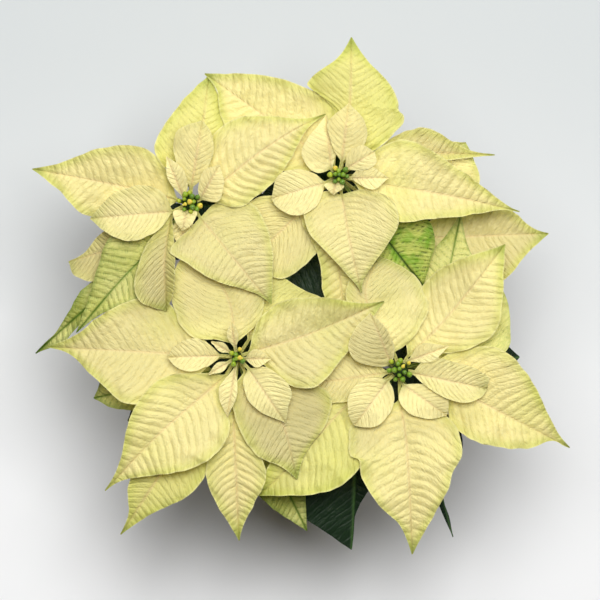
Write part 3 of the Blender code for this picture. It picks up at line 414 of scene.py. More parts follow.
def polar(radius, turn):
    """Plan position at a distance from the middle and a turn in radians."""
    return radius * math.cos(turn), radius * math.sin(turn)


def turns(count):
    """Even turns round a circle."""
    return [2 * math.pi * number / count for number in range(count)]


def shoot_foot(head):
    """Point on the crown at which a shoot starts."""
    x, y, _ = HEADS[head]
    return np.array((*polar(SHOOT_FOOT_OFFSET, math.atan2(y, x)), CROWN_HEIGHT - SHOOT_FOOT_SINK))


def shoot_point(head, share):
    """Point on a shoot's centre line: a leaning curve, then straight up to the head."""
    x, y, top = HEADS[head]
    foot = shoot_foot(head)
    knee = np.array((SHOOT_BEND_REACH * x, SHOOT_BEND_REACH * y, SHOOT_BEND_HEIGHT))
    turn = np.array((x, y, SHOOT_UPRIGHT_HEIGHT))
    upright = np.array((x, y, SHOOT_UPRIGHT_HEIGHT + UPRIGHT_EASE))
    if share >= SHOOT_LEAN_SHARE:
        rest = (share - SHOOT_LEAN_SHARE) / (1 - SHOOT_LEAN_SHARE)
        return upright + (np.array((x, y, top)) - upright) * rest
    part = share / SHOOT_LEAN_SHARE
    rest = 1 - part
    return rest**3 * foot + 3 * rest**2 * part * knee + 3 * rest * part**2 * turn + part**3 * upright


def shoot_radius(share):
    """Radius of a shoot, thinning to the constant radius of its upright end."""
    thicker = max(0.0, 1 - share / SHOOT_LEAN_SHARE)
    return SHOOT_TIP_RADIUS + (SHOOT_FOOT_RADIUS - SHOOT_TIP_RADIUS) * thicker


def shoot_at_height(head, height):
    """Centre and radius of a shoot where it passes a height."""
    shares = np.linspace(0, 1, SHOOT_SAMPLES)
    heights = np.array([shoot_point(head, share)[2] for share in shares])
    share = float(np.interp(height, heights, shares))
    return shoot_point(head, share), shoot_radius(share)


def spline(p0, p1, p2, p3, part):
    """Point of a smooth curve through four points, between the middle two."""
    return 0.5 * (
        2 * p1 + (p2 - p0) * part + (2 * p0 - 5 * p1 + 4 * p2 - p3) * part**2
        + (3 * p1 - p0 - 3 * p2 + p3) * part**3
    )


def lengths_along(line):
    """Length of a line up to each of its points."""
    return np.concatenate([[0.0], np.cumsum(np.linalg.norm(np.diff(line, axis=0), axis=1))])


def curve_through(points, count):
    """Smooth curve through plan points, sampled at even steps along its length."""
    given = np.array(points, dtype=float)
    padded = np.vstack([2 * given[0] - given[1], given, 2 * given[-1] - given[-2]])
    parts = np.linspace(0, 1, CURVE_STEPS, endpoint=False)
    fine = [spline(*padded[index:index + 4], part) for index in range(len(padded) - 3) for part in parts]
    fine = np.array([*fine, given[-1]])
    run = lengths_along(fine)
    wanted = np.linspace(0, run[-1], count)
    return np.column_stack([np.interp(wanted, run, fine[:, axis]) for axis in (0, 1)])


def keep_width(edge, middle, side, least):
    """Hold an edge at least a given distance from the midrib, on its own side."""
    away = np.sum((edge - middle) * side, axis=1)
    size = np.linalg.norm(edge - middle, axis=1)
    narrow = (size < least) | (away < 0)
    held = edge.copy()
    held[narrow] = (middle + side * np.maximum(least, np.abs(away))[:, None])[narrow]
    return held


def leaf_head(leaf):
    """Letter of the head that a leaf belongs to."""
    return leaf.name.split("_")[1][0]


def leaf_plan(leaf):
    """Plan positions of a leaf as a grid: rows from the stem to the tip, columns from edge to edge."""
    head = leaf_head(leaf)
    base = np.array(leaf.base, dtype=float)
    if leaf.root is None:
        centre, radius = np.array(HEADS[head]), SHOOT_TIP_RADIUS
    else:
        centre, radius = shoot_at_height(head, HEADS[head][2] + leaf.root)
        radius += LEAN_EASE
    toward = base - centre[:2]
    toward = toward / np.linalg.norm(toward)
    start = centre[:2] + toward * (radius + CLEARANCE)
    lines = [(leaf.base, *points, leaf.tip) for points in (leaf.mid, leaf.one, leaf.other)]
    middle, one, other = (curve_through(line, BLADE_ROWS + 1) for line in lines)
    along = np.gradient(middle, axis=0)
    along = along / np.linalg.norm(along, axis=1)[:, None]
    side = np.column_stack([-along[:, 1], along[:, 0]])
    if np.sum((one - middle) * side) < 0:
        side = -side
    least = np.full(BLADE_ROWS + 1, PETIOLE_HALF_WIDTH)
    least[-len(TIP_HALF_WIDTHS):] = TIP_HALF_WIDTHS
    one = keep_width(one, middle, side, least)
    other = keep_width(other, middle, -side, least)
    share = np.linspace(0, 1, PETIOLE_ROWS, endpoint=False)[:, None]
    stalk = start + (base - start) * share
    stalk_side = np.array((-toward[1], toward[0]))
    if np.dot(stalk_side, side[0]) < 0:
        stalk_side = -stalk_side
    one = np.vstack([stalk + stalk_side * PETIOLE_HALF_WIDTH, one])
    other = np.vstack([stalk - stalk_side * PETIOLE_HALF_WIDTH, other])
    middle = np.vstack([stalk, middle])
    shares = np.linspace(1, 0, HALF_COLUMNS, endpoint=False)
    columns = [middle + (one - middle) * share for share in shares]
    columns += [middle, *(middle + (other - middle) * share for share in shares[::-1])]
    return np.stack(columns, axis=1)


def leaf_wish(leaf, plan):
    """Heights that a leaf takes where nothing covers it."""
    rows = np.linspace(0, 1, BLADE_ROWS + 1)
    top = HEADS[leaf_head(leaf)][2]
    low, centre, high = (top + height for height in leaf.z)
    rib = low * (1 - rows) * (1 - 2 * rows) + 4 * centre * rows * (1 - rows) + high * rows * (2 * rows - 1)
    reach = np.linalg.norm(plan[0, HALF_COLUMNS] - plan[PETIOLE_ROWS, HALF_COLUMNS])
    rise = min(PETIOLE_RISE_LIMIT, PETIOLE_RISE * reach)
    start = low - rise if leaf.root is None else top + leaf.root
    share = np.linspace(0, 1, PETIOLE_ROWS, endpoint=False)
    stalk = start + (low - start) * share
    rib = np.concatenate([stalk, rib])
    out = np.linalg.norm(plan - plan[:, HALF_COLUMNS:HALF_COLUMNS + 1], axis=2)
    steep = np.full(plan.shape[1], leaf.fold[0])
    steep[HALF_COLUMNS:] = leaf.fold[1]
    lift = out * steep
    lift[:PETIOLE_ROWS + 1] = 0.0
    return rib[:, None] + lift


def map_index(places):
    """Cells of the plan map under some plan positions."""
    cells = ((places + MAP_HALF) / MAP_CELL).astype(int)
    return cells[..., 0], cells[..., 1]


def spread(ceiling, slope, reach):
    """Let every covered cell hold down its surroundings, less with distance."""
    step = MAP_CELL * slope
    for _ in range(reach):
        for cells in (ceiling, ceiling.T):
            cells[1:] = np.minimum(cells[1:], cells[:-1] + step)
            cells[:-1] = np.minimum(cells[:-1], cells[1:] + step)


def refine(grid, times):
    """Grid with linear steps put between its rows and its columns."""
    for axis in (0, 1):
        size = grid.shape[axis]
        wanted = np.linspace(0, size - 1, (size - 1) * times + 1)
        low = np.minimum(wanted.astype(int), size - 2)
        shape = [1] * grid.ndim
        shape[axis] = len(wanted)
        part = (wanted - low).reshape(shape)
        grid = np.take(grid, low, axis) * (1 - part) + np.take(grid, low + 1, axis) * part
    return grid


def smoothed(push):
    """Mean of each value's neighbours in the grid."""
    wide = np.pad(push, 1, mode="edge")
    return (wide[:-2, 1:-1] + wide[2:, 1:-1] + wide[1:-1, :-2] + wide[1:-1, 2:]) / 4


def settle_leaves(leaves):
    """Give every leaf its heights, pushing each one below those that cover it."""
    cells = int(2 * MAP_HALF / MAP_CELL)
    blades = np.full((cells, cells), OPEN_SKY)
    stalks = np.full((cells, cells), OPEN_SKY)
    middles = (np.arange(cells) + 0.5) * MAP_CELL - MAP_HALF
    for x, y, top in HEADS.values():
        away = np.hypot(middles[:, None] - x, middles[None, :] - y)
        blades[away < CLUSTER_REACH] = top - PETIOLE_GAP
    spread(blades, BLADE_SLOPE, MAP_REACH)
    settled = []
    for leaf in leaves:
        plan = leaf_plan(leaf)
        height = leaf_wish(leaf, plan)
        column, row = map_index(plan)
        roof = np.minimum(blades[column, row], stalks[column, row])
        push = np.maximum(0.0, height - roof)
        if leaf.root is not None:
            push[0] = 0.0
        for _ in range(PUSH_ROUNDS):
            push = np.maximum(push, smoothed(push))
        if leaf.root is not None:
            push[0] = 0.0
        height = height - push
        settled.append((leaf, plan, height))
        dense = refine(np.dstack([plan, height]), MAP_STEPS)
        split = PETIOLE_ROWS * MAP_STEPS
        for part, roofs, gap in (
            (dense[split:], blades, BLADE_GAP + CAD_BLADE),
            (dense[:split], stalks, PETIOLE_GAP + CAD_PETIOLE),
        ):
            column, row = map_index(part[..., :2])
            np.minimum.at(roofs, (column, row), part[..., 2] - gap)
        spread(blades, BLADE_SLOPE, MAP_REACH)
        spread(stalks, PETIOLE_SLOPE, STALK_REACH)
    return settled


def cubic(grid, times, axis):
    """Grid with smooth steps put between its rows or its columns."""
    grid = np.moveaxis(grid, axis, 0)
    wide = np.concatenate([2 * grid[:1] - grid[1:2], grid, 2 * grid[-1:] - grid[-2:-1]])
    spots = np.linspace(0, len(grid) - 1, (len(grid) - 1) * times + 1)
    low = np.minimum(spots.astype(int), len(grid) - 2)
    part = (spots - low).reshape([-1] + [1] * (grid.ndim - 1))
    return np.moveaxis(spline(*(wide[low + step] for step in range(4)), part), 0, axis)


def ramp(value, low, high):
    """Smooth step from 0 at low to 1 at high."""
    share = np.clip((value - low) / (high - low), 0.0, 1.0)
    return share * share * (3 - 2 * share)


def noise_field(points, size, seed):
    """Smooth random values from -1 to 1 at some points, with a given grain size in millimetres."""
    shift = Vector((17.3 * seed, 5.1 * seed, 2.7 * seed))
    flat = points.reshape(-1, 3) / size
    values = [noise.noise(Vector(point) + shift) for point in flat]
    return np.array(values).reshape(points.shape[:-1])


def side_of(points):
    """Which side of the rib each point of a fine blade lies on: -1, 0 or 1."""
    columns = points.shape[1]
    side = np.sign(np.arange(columns) - columns // 2).astype(float)
    return np.broadcast_to(side, points.shape[:2])


def fineness(leaf):
    """Steps between the rows and between the columns of a blade's grid."""
    length = np.linalg.norm(np.subtract(leaf.tip, leaf.base))
    if leaf.kind == "leaf":
        length = min(length, PLAIN_LEAF_LENGTH)
    return next(steps for least, *steps in FINE_STEPS if length >= least)


def under_leaf(name, turn, length, broad, depth):
    """Oval leaf on a shoot, out from its head's middle."""
    way = np.array((math.cos(math.radians(turn)), math.sin(math.radians(turn))))
    across = np.array((-way[1], way[0]))
    middle = np.array(HEADS[name.split("_")[1][0]][:2])

    def spot(share, wide):
        return tuple(middle + way * (UNDER_NEAR + share * length) + across * wide * broad)

    one = tuple(spot(share, wide) for share, wide in OVAL)
    other = tuple(spot(share, -wide) for share, wide in OVAL)
    heights = (-depth, -depth - 2, -depth - 14)
    return blade(name, spot(0, 0), spot(1, 0), one, other, heights, kind="leaf", root=-depth - 5)


def blade_fields(points, stalk_rows):
    """Where each point of a fine blade lies between base and tip, rib and margin, and two lateral veins."""
    middle = points.shape[1] // 2
    rib = points[:, middle]
    run = lengths_along(rib)
    along = np.repeat((run - run[stalk_rows])[:, None], points.shape[1], axis=1)
    out = np.linalg.norm(points[..., :2] - rib[:, None, :2], axis=2)
    half = np.empty_like(out)
    half[:, :middle + 1] = out[:, :1]
    half[:, middle:] = out[:, -1:]
    broad = max(half.max(), 1.0)
    spacing = np.clip(along.max() / VEINS_A_SIDE, *VEIN_SPACINGS)
    phase = (along - VEIN_SLANT * out - VEIN_SWEEP * out**2 / broad) / spacing + 0.25 * side_of(points)
    return Fields(along, out, half, half - out, phase)


def relief(points, fields, seed, depth):
    """Height that veins, quilting between them and crinkles add to a blade, and the veins' own phase."""
    along, out, half, inward, phase = fields
    length = along.max()
    wander = noise_field(points, 16.0, seed)
    phase = phase + VEIN_WANDER * wander
    bulge = (0.5 - 0.5 * np.cos(2 * math.pi * phase)) ** 0.8
    inner = ramp(out, 0.4, 4.0) * (0.35 + 0.65 * ramp(inward, 0.0, 4.0))
    inner = inner * ramp(along, 0.0, 10.0) * ramp(length - along, 0.0, 18.0)
    size = min(1.0, length / 90.0) * depth
    pleated = 0.70 + 0.60 * ramp(noise_field(points, 24.0, seed + 2), -0.45, 0.45)
    quilt = QUILT_HEIGHT * size * (bulge - 0.5) * inner * pleated
    lengthwise = np.dstack([phase * 2.1, out / 10.0, 0.3 * side_of(points)])
    wrinkle = WRINKLE_HEIGHT * size * noise_field(lengthwise, 1.0, seed + 4) * ramp(out, 0.5, 5.0)
    wrinkle = wrinkle * ramp(along, 0.0, 10.0)
    from_base = ramp(along, 0.0, 8.0)
    crinkle = CRINKLE_HEIGHT * size * noise_field(points, 8.0, seed + 3) * from_base
    fine = FINE_HEIGHT * noise_field(points, 2.6, seed + 5) * from_base * ramp(out, 0.0, 2.0)
    groove = -RIB_GROOVE * np.exp(-((out / 1.1) ** 2)) * ramp(along, 0.0, 6.0)
    share = np.where(half > 0.1, out / np.maximum(half, 0.1), 0.0)
    wave = np.sin(2 * math.pi * along / WAVE_LENGTH + seed + 2.2 * np.sign(wander))
    wave = MARGIN_WAVE * size * share**3 * wave * ramp(half, 3.0, 12.0)
    return quilt + wrinkle + crinkle + fine + groove + wave, phase


def over(tint, colour, share):
    """Tint with a share of another colour over it at each point."""
    share = share[..., None]
    return tint * (1 - share) + np.array(colour) * share


def tone_or_painted_shade(leaf, usual):
    """Tone of a blade: its own, a darker cream that paints its shade, or the usual one of its kind."""
    return next((tone for tone, names in TONES_AND_PAINTED_SHADE.items() if leaf.name in names), usual)


def turning_tint(leaf, points, fields, seed, patches):
    """Colour of a turning blade: patches of green and pale, green veins and a green margin."""
    along, out, _, inward, phase = fields
    tone = tone_or_painted_shade(leaf, TURNING)
    vivid = tone == VIVID_GREEN
    light = np.array(VIVID_LIME) if vivid else np.array(LIME) * 0.92
    lightest = (0.5 if leaf.name in PALE_BLADES else 0.0) * (1 - ramp(along / along.max(), 0.6, 0.9))
    if vivid:
        patches = 0.15 + 0.6 * noise_field(points, 9.0, seed + 9)
        patches = patches + 0.5 * noise_field(points, 3.2, seed + 8)
    tint = over(np.array(tone), light, ramp(patches + lightest, -0.25, 0.45))
    specks = noise_field(points, 3.0, seed + 12)
    near = np.abs((phase % 1.0) - 0.5) * 2 + 0.35 * specks
    line = np.maximum(ramp(near, 0.78, 1.10), 1 - ramp(out, 0.4, 1.5))
    green = np.clip(line * (0.9 if vivid else 0.55 - 0.5 * patches) * (1 - lightest), 0, 1)
    tint = over(tint, np.array(VEIN_GREEN) * (0.4 if vivid else 1.0), green)
    return over(tint, VEIN_GREEN, (1 - ramp(inward + 1.5 * specks, 0.5, 4.0)) * 0.4 * (1 - lightest))


def bract_tint(leaf, fields, patches):
    """Colour of a bract: peach along the rib, greener towards margin and tip, and paler if it is small."""
    along, out, _, inward, _ = fields
    length = along.max()
    tone = tone_or_painted_shade(leaf, CREAM)
    tint = np.array(tone) * (1.0 + 0.04 * patches[..., None])
    tint = over(tint, RIB_PEACH, (1 - ramp(out, 0.3, 1.6)) * 0.5 * (1 - ramp(along / length, 0.5, 1.0)))
    size = float(ramp(length, 34.0, 92.0))
    if tone != TAN:
        tint = tint * size + tint / np.array(CREAM) * np.array(PALE_CREAM) * (1 - size)
    edge = (1 - ramp(inward, 0.0, 12.0)) ** 1.3 * (0.46 + 0.22 * ramp(along / length, 0.4, 1.0)) * size
    tint = over(tint, MARGIN_GREEN, np.clip(edge + 0.36 * np.clip(patches, 0, 1) * size, 0, 0.85))
    tip = ramp(along - length, -14.0, 0.0) * 0.75 * size
    tint = over(tint, TIP_GREEN, tip)
    return over(tint, RIM_CREAM, (1 - ramp(inward, 0.0, 1.3)) * 0.6 * (1 - tip))


def blade_tint(leaf, points, fields, seed):
    """Colour of a blade at each point."""
    patches = noise_field(points, 30.0, seed + 9)
    if leaf.kind == "bract":
        return bract_tint(leaf, fields, patches)
    if leaf.kind == "turning":
        return turning_tint(leaf, points, fields, seed, patches)
    # Plain leaf: near-black green, partly its own colour and partly painted shade.
    tint = np.array(DEEP_GREEN_AND_SHADE) * (1.0 + 0.25 * patches[..., None])
    return over(tint, GREEN_RIB, 1 - ramp(fields.out, 0.2, 1.4))


def finish_piece(item, slot, *nodes):
    """Let a piece ride on the plant and stand for its CAD nodes; its slot is not used."""
    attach(item, "root")
    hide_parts(*nodes)


def smooth_shaded(mesh, crease=None):
    """Shade a mesh smooth, but for the edges that bend more than a number of degrees."""
    mesh.polygons.foreach_set("use_smooth", [True] * len(mesh.polygons))
    if crease is not None:
        mesh.set_sharp_from_angle(angle=math.radians(crease))


def mesh_piece(name, vertices, faces, look):
    """Smooth-shaded mesh object from points in millimetres, with every face turned outwards."""
    mesh = bpy.data.meshes.new(name)
    mesh.from_pydata((np.asarray(vertices, dtype=float) * MM).tolist(), [], faces)
    mesh.materials.append(look)
    smooth_shaded(mesh)
    shell = bmesh.new()
    shell.from_mesh(mesh)
    bmesh.ops.recalc_face_normals(shell, faces=shell.faces)
    shell.to_mesh(mesh)
    shell.free()
    item = bpy.data.objects.new(name, mesh)
    bpy.context.scene.collection.objects.link(item)
    return item


def store_tint(mesh, colours):
    """Keep a colour for every point of a mesh."""
    layer = mesh.color_attributes.new("tint", "FLOAT_COLOR", "POINT")
    opaque = np.insert(np.clip(colours, 0.0, 1.0), 3, 1.0, axis=1)
    layer.data.foreach_set("color", opaque.astype(np.float32).ravel())


def sheet_faces(high, wide):
    """Faces of a closed sheet: a top grid, the same grid below it and the rim between them."""
    index = np.arange(high * wide).reshape(high, wide)
    below = high * wide
    top = np.stack([index[:-1, :-1], index[:-1, 1:], index[1:, 1:], index[1:, :-1]], axis=-1).reshape(-1, 4)
    faces = top.tolist() + (top[:, ::-1] + below).tolist()
    border = np.concatenate([index[0, :], index[1:, -1], index[-1, -2::-1], index[-2:0:-1, 0]])
    after = np.roll(border, -1)
    faces += np.stack([border, border + below, after + below, after], axis=-1).tolist()
    return faces


def build_blade(leaf, plan, height, look, seed):
    """Fine blade on its stalk: quilted between its veins, with a rib below and a rounded stalk."""
    rows, columns = fineness(leaf)
    points = cubic(cubic(np.dstack([plan, height]), rows, 0), columns, 1)
    fields = blade_fields(points, PETIOLE_ROWS * rows)
    lift, phase = relief(points, fields, seed, LEAF_RELIEF if leaf.kind == "leaf" else 1.0)
    fields = fields._replace(phase=phase)
    along, out, half, inward, _ = fields
    share = out / np.maximum(half, 0.1)
    upper = points.copy()
    upper[..., 2] += lift
    away = points[..., :2] - points[:, points.shape[1] // 2][:, None, :2]
    spots = np.dstack([along / 6.5, 3.0 * side_of(points), np.zeros_like(along)])
    ripple = EDGE_RIPPLE * noise_field(spots, 1.0, seed + 21) * ramp(half, 2.5, 9.0) * share**2
    upper[..., :2] += away / np.maximum(out, 0.1)[..., None] * ripple[..., None]
    stalk = 1 - ramp(along, -2.0, 7.0)
    round_share = np.sqrt(np.clip(1 - share**2, 0.02, 1.0))
    rib = RIB_DEPTH * np.exp(-(out**2)) * (1 - ramp(along / along.max(), 0.3, 1.0))
    depth = (1 - stalk) * (THICKNESS + rib) + stalk * STALK_DEPTH * round_share
    upper[..., 2] -= stalk * 0.5 * (1 - round_share)
    lower = upper.copy()
    lower[..., 2] -= depth
    vertices = np.concatenate([upper.reshape(-1, 3), lower.reshape(-1, 3)])
    item = mesh_piece(leaf.name, vertices, sheet_faces(*points.shape[:2]), look)
    smooth_shaded(item.data, crease=60)
    tint = blade_tint(leaf, points, fields, seed)
    stalk_colour = STALK_CREAM if leaf.kind == "bract" else STALK_GREEN
    tint = over(tint, stalk_colour, stalk * (1 - ramp(along, 2.0, 10.0)))
    store_tint(item.data, np.tile(tint.reshape(-1, 3), (2, 1)))
    ribs = np.dstack([phase + 11 * seed, out, inward])
    layer = item.data.attributes.new("ribs", "FLOAT_VECTOR", "POINT")
    layer.data.foreach_set("vector", np.tile(ribs.ravel(), 2).astype(np.float32))
    return item


def ring_faces(rings):
    """Faces between rings of point numbers; a ring of a single point is a tip."""
    faces = []
    for low, high in zip(rings, rings[1:]):
        sides = max(len(low), len(high))
        for side in range(sides):
            after = (side + 1) % sides
            if len(low) == 1:
                faces.append((low[0], high[after], high[side]))
            elif len(high) == 1:
                faces.append((low[side], low[after], high[0]))
            else:
                faces.append((low[side], low[after], high[after], high[side]))
    return faces


def tube_faces(count, sides):
    """Faces of a closed tube of a number of rings."""
    rings = np.arange(count * sides).reshape(count, sides).tolist()
    return [rings[0][::-1], *ring_faces(rings), rings[-1]]


def lathe_piece(name, profile, sides, look):
    """Closed turned body from a profile of radius and height, both of whose ends lie on the axis."""
    vertices = []
    rings = []
    for radius, height in profile:
        count = sides if radius > 0 else 1
        rings.append(range(len(vertices), len(vertices) + count))
        vertices += [(*polar(radius, turn), height) for turn in turns(count)]
    return mesh_piece(name, vertices, ring_faces(rings), look)


def change(item, *changes):
    """Make modifiers, each with its settings, part of an object's mesh."""
    for kind, settings in changes:
        made = item.modifiers.new(kind, kind)
        for key, value in settings.items():
            setattr(made, key, value)
    graph = bpy.context.evaluated_depsgraph_get()
    mesh = bpy.data.meshes.new_from_object(item.evaluated_get(graph))
    item.modifiers.clear()
    item.data = mesh


def combine(item, other, operation):
    """Join another closed mesh to a piece, or cut it out, and remove the other."""
    change(item, ("BOOLEAN", {"operation": operation, "solver": "EXACT", "object": other}))
    bpy.data.objects.remove(other)


def rounded(corners, size):
    """Profile whose inner corners are rounded by a given size."""
    line = [np.array(corner, dtype=float) for corner in corners]
    made = [line[0]]
    for before, corner, after in zip(line, line[1:], line[2:]):
        reach = min(size, 0.45 * np.linalg.norm(corner - before), 0.45 * np.linalg.norm(after - corner))
        start = corner + (before - corner) / np.linalg.norm(before - corner) * reach
        end = corner + (after - corner) / np.linalg.norm(after - corner) * reach
        for part in np.linspace(0, 1, CORNER_STEPS + 1):
            made.append((1 - part) ** 2 * start + 2 * part * (1 - part) * corner + part**2 * end)
    made.append(line[-1])
    return [tuple(point) for point in made]


def pot_outer_radius(height):
    """Outer radius of the pot's tapered wall."""
    return POT_FOOT_RADIUS + (POT_MOUTH_RADIUS - POT_FOOT_RADIUS) * height / POT_HEIGHT


def build_pot(look):
    """Thin tapered pot with a stepped rim, a foot ring and drain holes."""
    step = POT_HEIGHT - RIM_HEIGHT
    mouth = POT_MOUTH_RADIUS + RIM_PROUD
    corners = [
        (0.0, FOOT_RING),
        (POT_FOOT_RADIUS - 8.0, FOOT_RING),
        (POT_FOOT_RADIUS - 7.0, 0.0),
        (POT_FOOT_RADIUS, 0.0),
        (pot_outer_radius(step - 12.0), step - 12.0),
        (pot_outer_radius(step), step),
        (mouth - 0.6, step + 0.6),
        (mouth, POT_HEIGHT),
        (POT_MOUTH_RADIUS - POT_WALL, POT_HEIGHT),
        (pot_outer_radius(step) - POT_WALL, step - 1.0),
        (pot_outer_radius(POT_FLOOR) - POT_WALL, POT_FLOOR),
        (0.0, POT_FLOOR),
    ]
    item = lathe_piece("pot_shell", rounded(corners, EDGE_ROUND), POT_SIDES, look)
    for turn in turns(DRAIN_COUNT):
        place = (*polar(DRAIN_CIRCLE * MM, turn), 0)
        bpy.ops.mesh.primitive_cylinder_add(
            vertices=DRAIN_SIDES, radius=DRAIN_RADIUS * MM, depth=20 * MM, location=place
        )
        combine(item, bpy.context.object, "DIFFERENCE")
    smooth_shaded(item.data, crease=35)
    finish_piece(item, "pot", "pot")


def soil_height(radius, room):
    """Height of the soil's gentle dome."""
    return POT_HEIGHT - SOIL_BELOW_MOUTH + SOIL_DOME * (1 - (radius / room) ** 2)


def icosphere(levels):
    """Points and faces of a round ball of radius 1."""
    shape = bmesh.new()
    bmesh.ops.create_icosphere(shape, subdivisions=levels, radius=1.0)
    points = [corner.co.copy() for corner in shape.verts]
    faces = [[corner.index for corner in face.verts] for face in shape.faces]
    shape.free()
    return points, faces


def build_soil(look, crumb_look):
    """Lumpy potting soil, with loose crumbs and bits of bark sunk into its surface."""
    edge_height = POT_HEIGHT - SOIL_BELOW_MOUTH
    room = pot_outer_radius(edge_height) - POT_WALL - CLEARANCE
    floor = POT_FLOOR + CLEARANCE
    foot = pot_outer_radius(floor) - POT_WALL - CLEARANCE
    radii = [room * (1 - step / SOIL_RINGS) for step in range(SOIL_RINGS)] + [0.0]
    profile = [(0.0, floor), (foot, floor), *((radius, soil_height(radius, room)) for radius in radii)]
    item = lathe_piece("soil_body", profile, SOIL_SIDES, look)
    for vertex in item.data.vertices:
        x, y, z = (value / MM for value in vertex.co)
        radius = math.hypot(x, y)
        if z > edge_height - 0.01 and radius < room - 0.01:
            fade = min(1.0, (room - radius) / 3.0)
            trunk = ramp(radius, TRUNK_RADIUS, TRUNK_RADIUS + 5.0)
            lumps = 1.6 * noise.noise(Vector((x, y, 3.0)) / 9.0)
            lumps += 1.1 * noise.noise(Vector((x, y, 7.0)) / 3.1)
            grit = 0.6 * abs(noise.noise(Vector((x, y, 11.0)) / 1.5))
            vertex.co.z += float((lumps + grit) * fade * (0.3 + 0.7 * trunk)) * MM
    finish_piece(item, "soil", "soil")
    chance = random.Random(CRUMB_SEED)
    vertices = []
    faces = []
    ball, ball_faces = icosphere(1)
    for _ in range(CRUMB_COUNT):
        radius = room * math.sqrt(chance.uniform(0.012, 0.93))
        turn = chance.uniform(0, 2 * math.pi)
        size = chance.uniform(0.8, 2.3)
        place = Vector((*polar(radius, turn), soil_height(radius, room) + 0.5 * size))
        spin = Matrix.Rotation(chance.uniform(0, 6.28), 3, "Z")
        spin = spin @ Matrix.Rotation(chance.uniform(0, 1.2), 3, "X")
        stretch = Matrix.Diagonal((size * chance.uniform(0.8, 1.9), size, size * chance.uniform(0.5, 0.9)))
        first = len(vertices)
        for corner in ball:
            jut = 1 + 0.3 * noise.noise(corner * 1.7 + place)
            vertices.append(place + spin @ (stretch @ corner * jut))
        faces += [[first + corner for corner in face] for face in ball_faces]
    finish_piece(mesh_piece("soil_crumbs", vertices, faces, crumb_look), "soil", "soil")


def tube_rings(centres, radii, sides):
    """Rings of points round a centre line, kept from twisting."""
    centres = np.array(centres, dtype=float)
    ways = np.gradient(centres, axis=0)
    ways = ways / np.linalg.norm(ways, axis=1)[:, None]
    across = np.cross(ways[0], (0.3, 1.0, 0.2))
    rings = []
    for centre, way, radius in zip(centres, ways, radii):
        across = across - way * np.dot(across, way)
        across = across / np.linalg.norm(across)
        up = np.cross(way, across)
        angles = np.array(turns(sides))
        round_way = np.outer(np.cos(angles) * radius, across) + np.outer(np.sin(angles) * radius, up)
        rings.append(centre + round_way)
    return rings


def tube_piece(name, centres, radii, sides, look):
    """Closed tube along a centre line."""
    vertices = np.concatenate(tube_rings(centres, radii, sides))
    return mesh_piece(name, vertices, tube_faces(len(centres), sides), look)


def ball_piece(name, centre, size, look, levels=2):
    """Rounded lump."""
    points, faces = icosphere(levels)
    return mesh_piece(name, np.array(centre) + np.array(points) * size, faces, look)


def node_swelling(height, first, gap, size):
    """Extra radius at the nodes that ring a shoot."""
    offset = (height - first) / gap
    near = abs(offset - round(offset)) * gap
    return size * math.exp(-((near / 1.6) ** 2))


def build_stem(settled, look):
    """Short brown trunk and four green shoots, ringed by nodes, with a scar below each leaf stalk."""
    soil_top = POT_HEIGHT - SOIL_BELOW_MOUTH + SOIL_DOME
    heights = np.linspace(soil_top - TRUNK_BURIED, CROWN_HEIGHT, TRUNK_RINGS)
    centres = [(0.35 * math.sin(h / 17), 0.35 * math.cos(h / 13), h) for h in heights]
    radii = [
        TRUNK_RADIUS + 0.7 * ramp(h, CROWN_HEIGHT - 22, CROWN_HEIGHT) - 0.6 * ramp(soil_top - h, 10.0, 42.0)
        + node_swelling(h, CROWN_HEIGHT - 6, TRUNK_NODE_GAP, 0.7)
        for h in heights
    ]
    item = tube_piece("stem_body", centres, radii, TRUNK_SIDES, look)
    parts = [ball_piece("crown", (0, 0, CROWN_HEIGHT - 1), CROWN_SIZE, look, 3)]
    for number, head in enumerate(HEADS):
        shares = np.linspace(0, 1, SHOOT_RINGS)
        centres = [shoot_point(head, share) for share in shares]
        radii = []
        for share, centre in zip(shares, centres):
            swell = 0
            if centre[2] < HEADS[head][2] - 12:
                swell = node_swelling(centre[2], SHOOT_NODE_START + 3 * number, SHOOT_NODE_GAP, 0.45)
            radii.append(shoot_radius(share) - 0.12 + min(0.4, swell))
        parts.append(tube_piece("shoot", centres, radii, SHOOT_SIDES, look))
    for leaf, plan, height in settled:
        head = leaf_head(leaf)
        start = np.append(plan[0, HALF_COLUMNS], height[0, HALF_COLUMNS])
        level = start[2] - 0.5 * CAD_PETIOLE
        if level > HEADS[head][2] - 1.0:
            continue
        centre, radius = shoot_at_height(head, level)
        way = start - centre
        way[2] = 0.0
        way = way / np.linalg.norm(way)
        spot = centre + way * (radius - 0.5)
        parts.append(ball_piece("scar", (spot[0], spot[1], level - 0.6), SCAR_SIZE, look))
    for part in parts:
        combine(item, part, "UNION")
    change(item, ("REMESH", {"mode": "VOXEL", "voxel_size": STEM_VOXEL * MM, "adaptivity": 0.0}),
           ("SMOOTH", {"factor": 0.5, "iterations": 3}))
    change(item, ("DECIMATE", {"ratio": STEM_FACES_KEPT}))
    smooth_shaded(item.data)
    finish_piece(item, "stem", "stem")


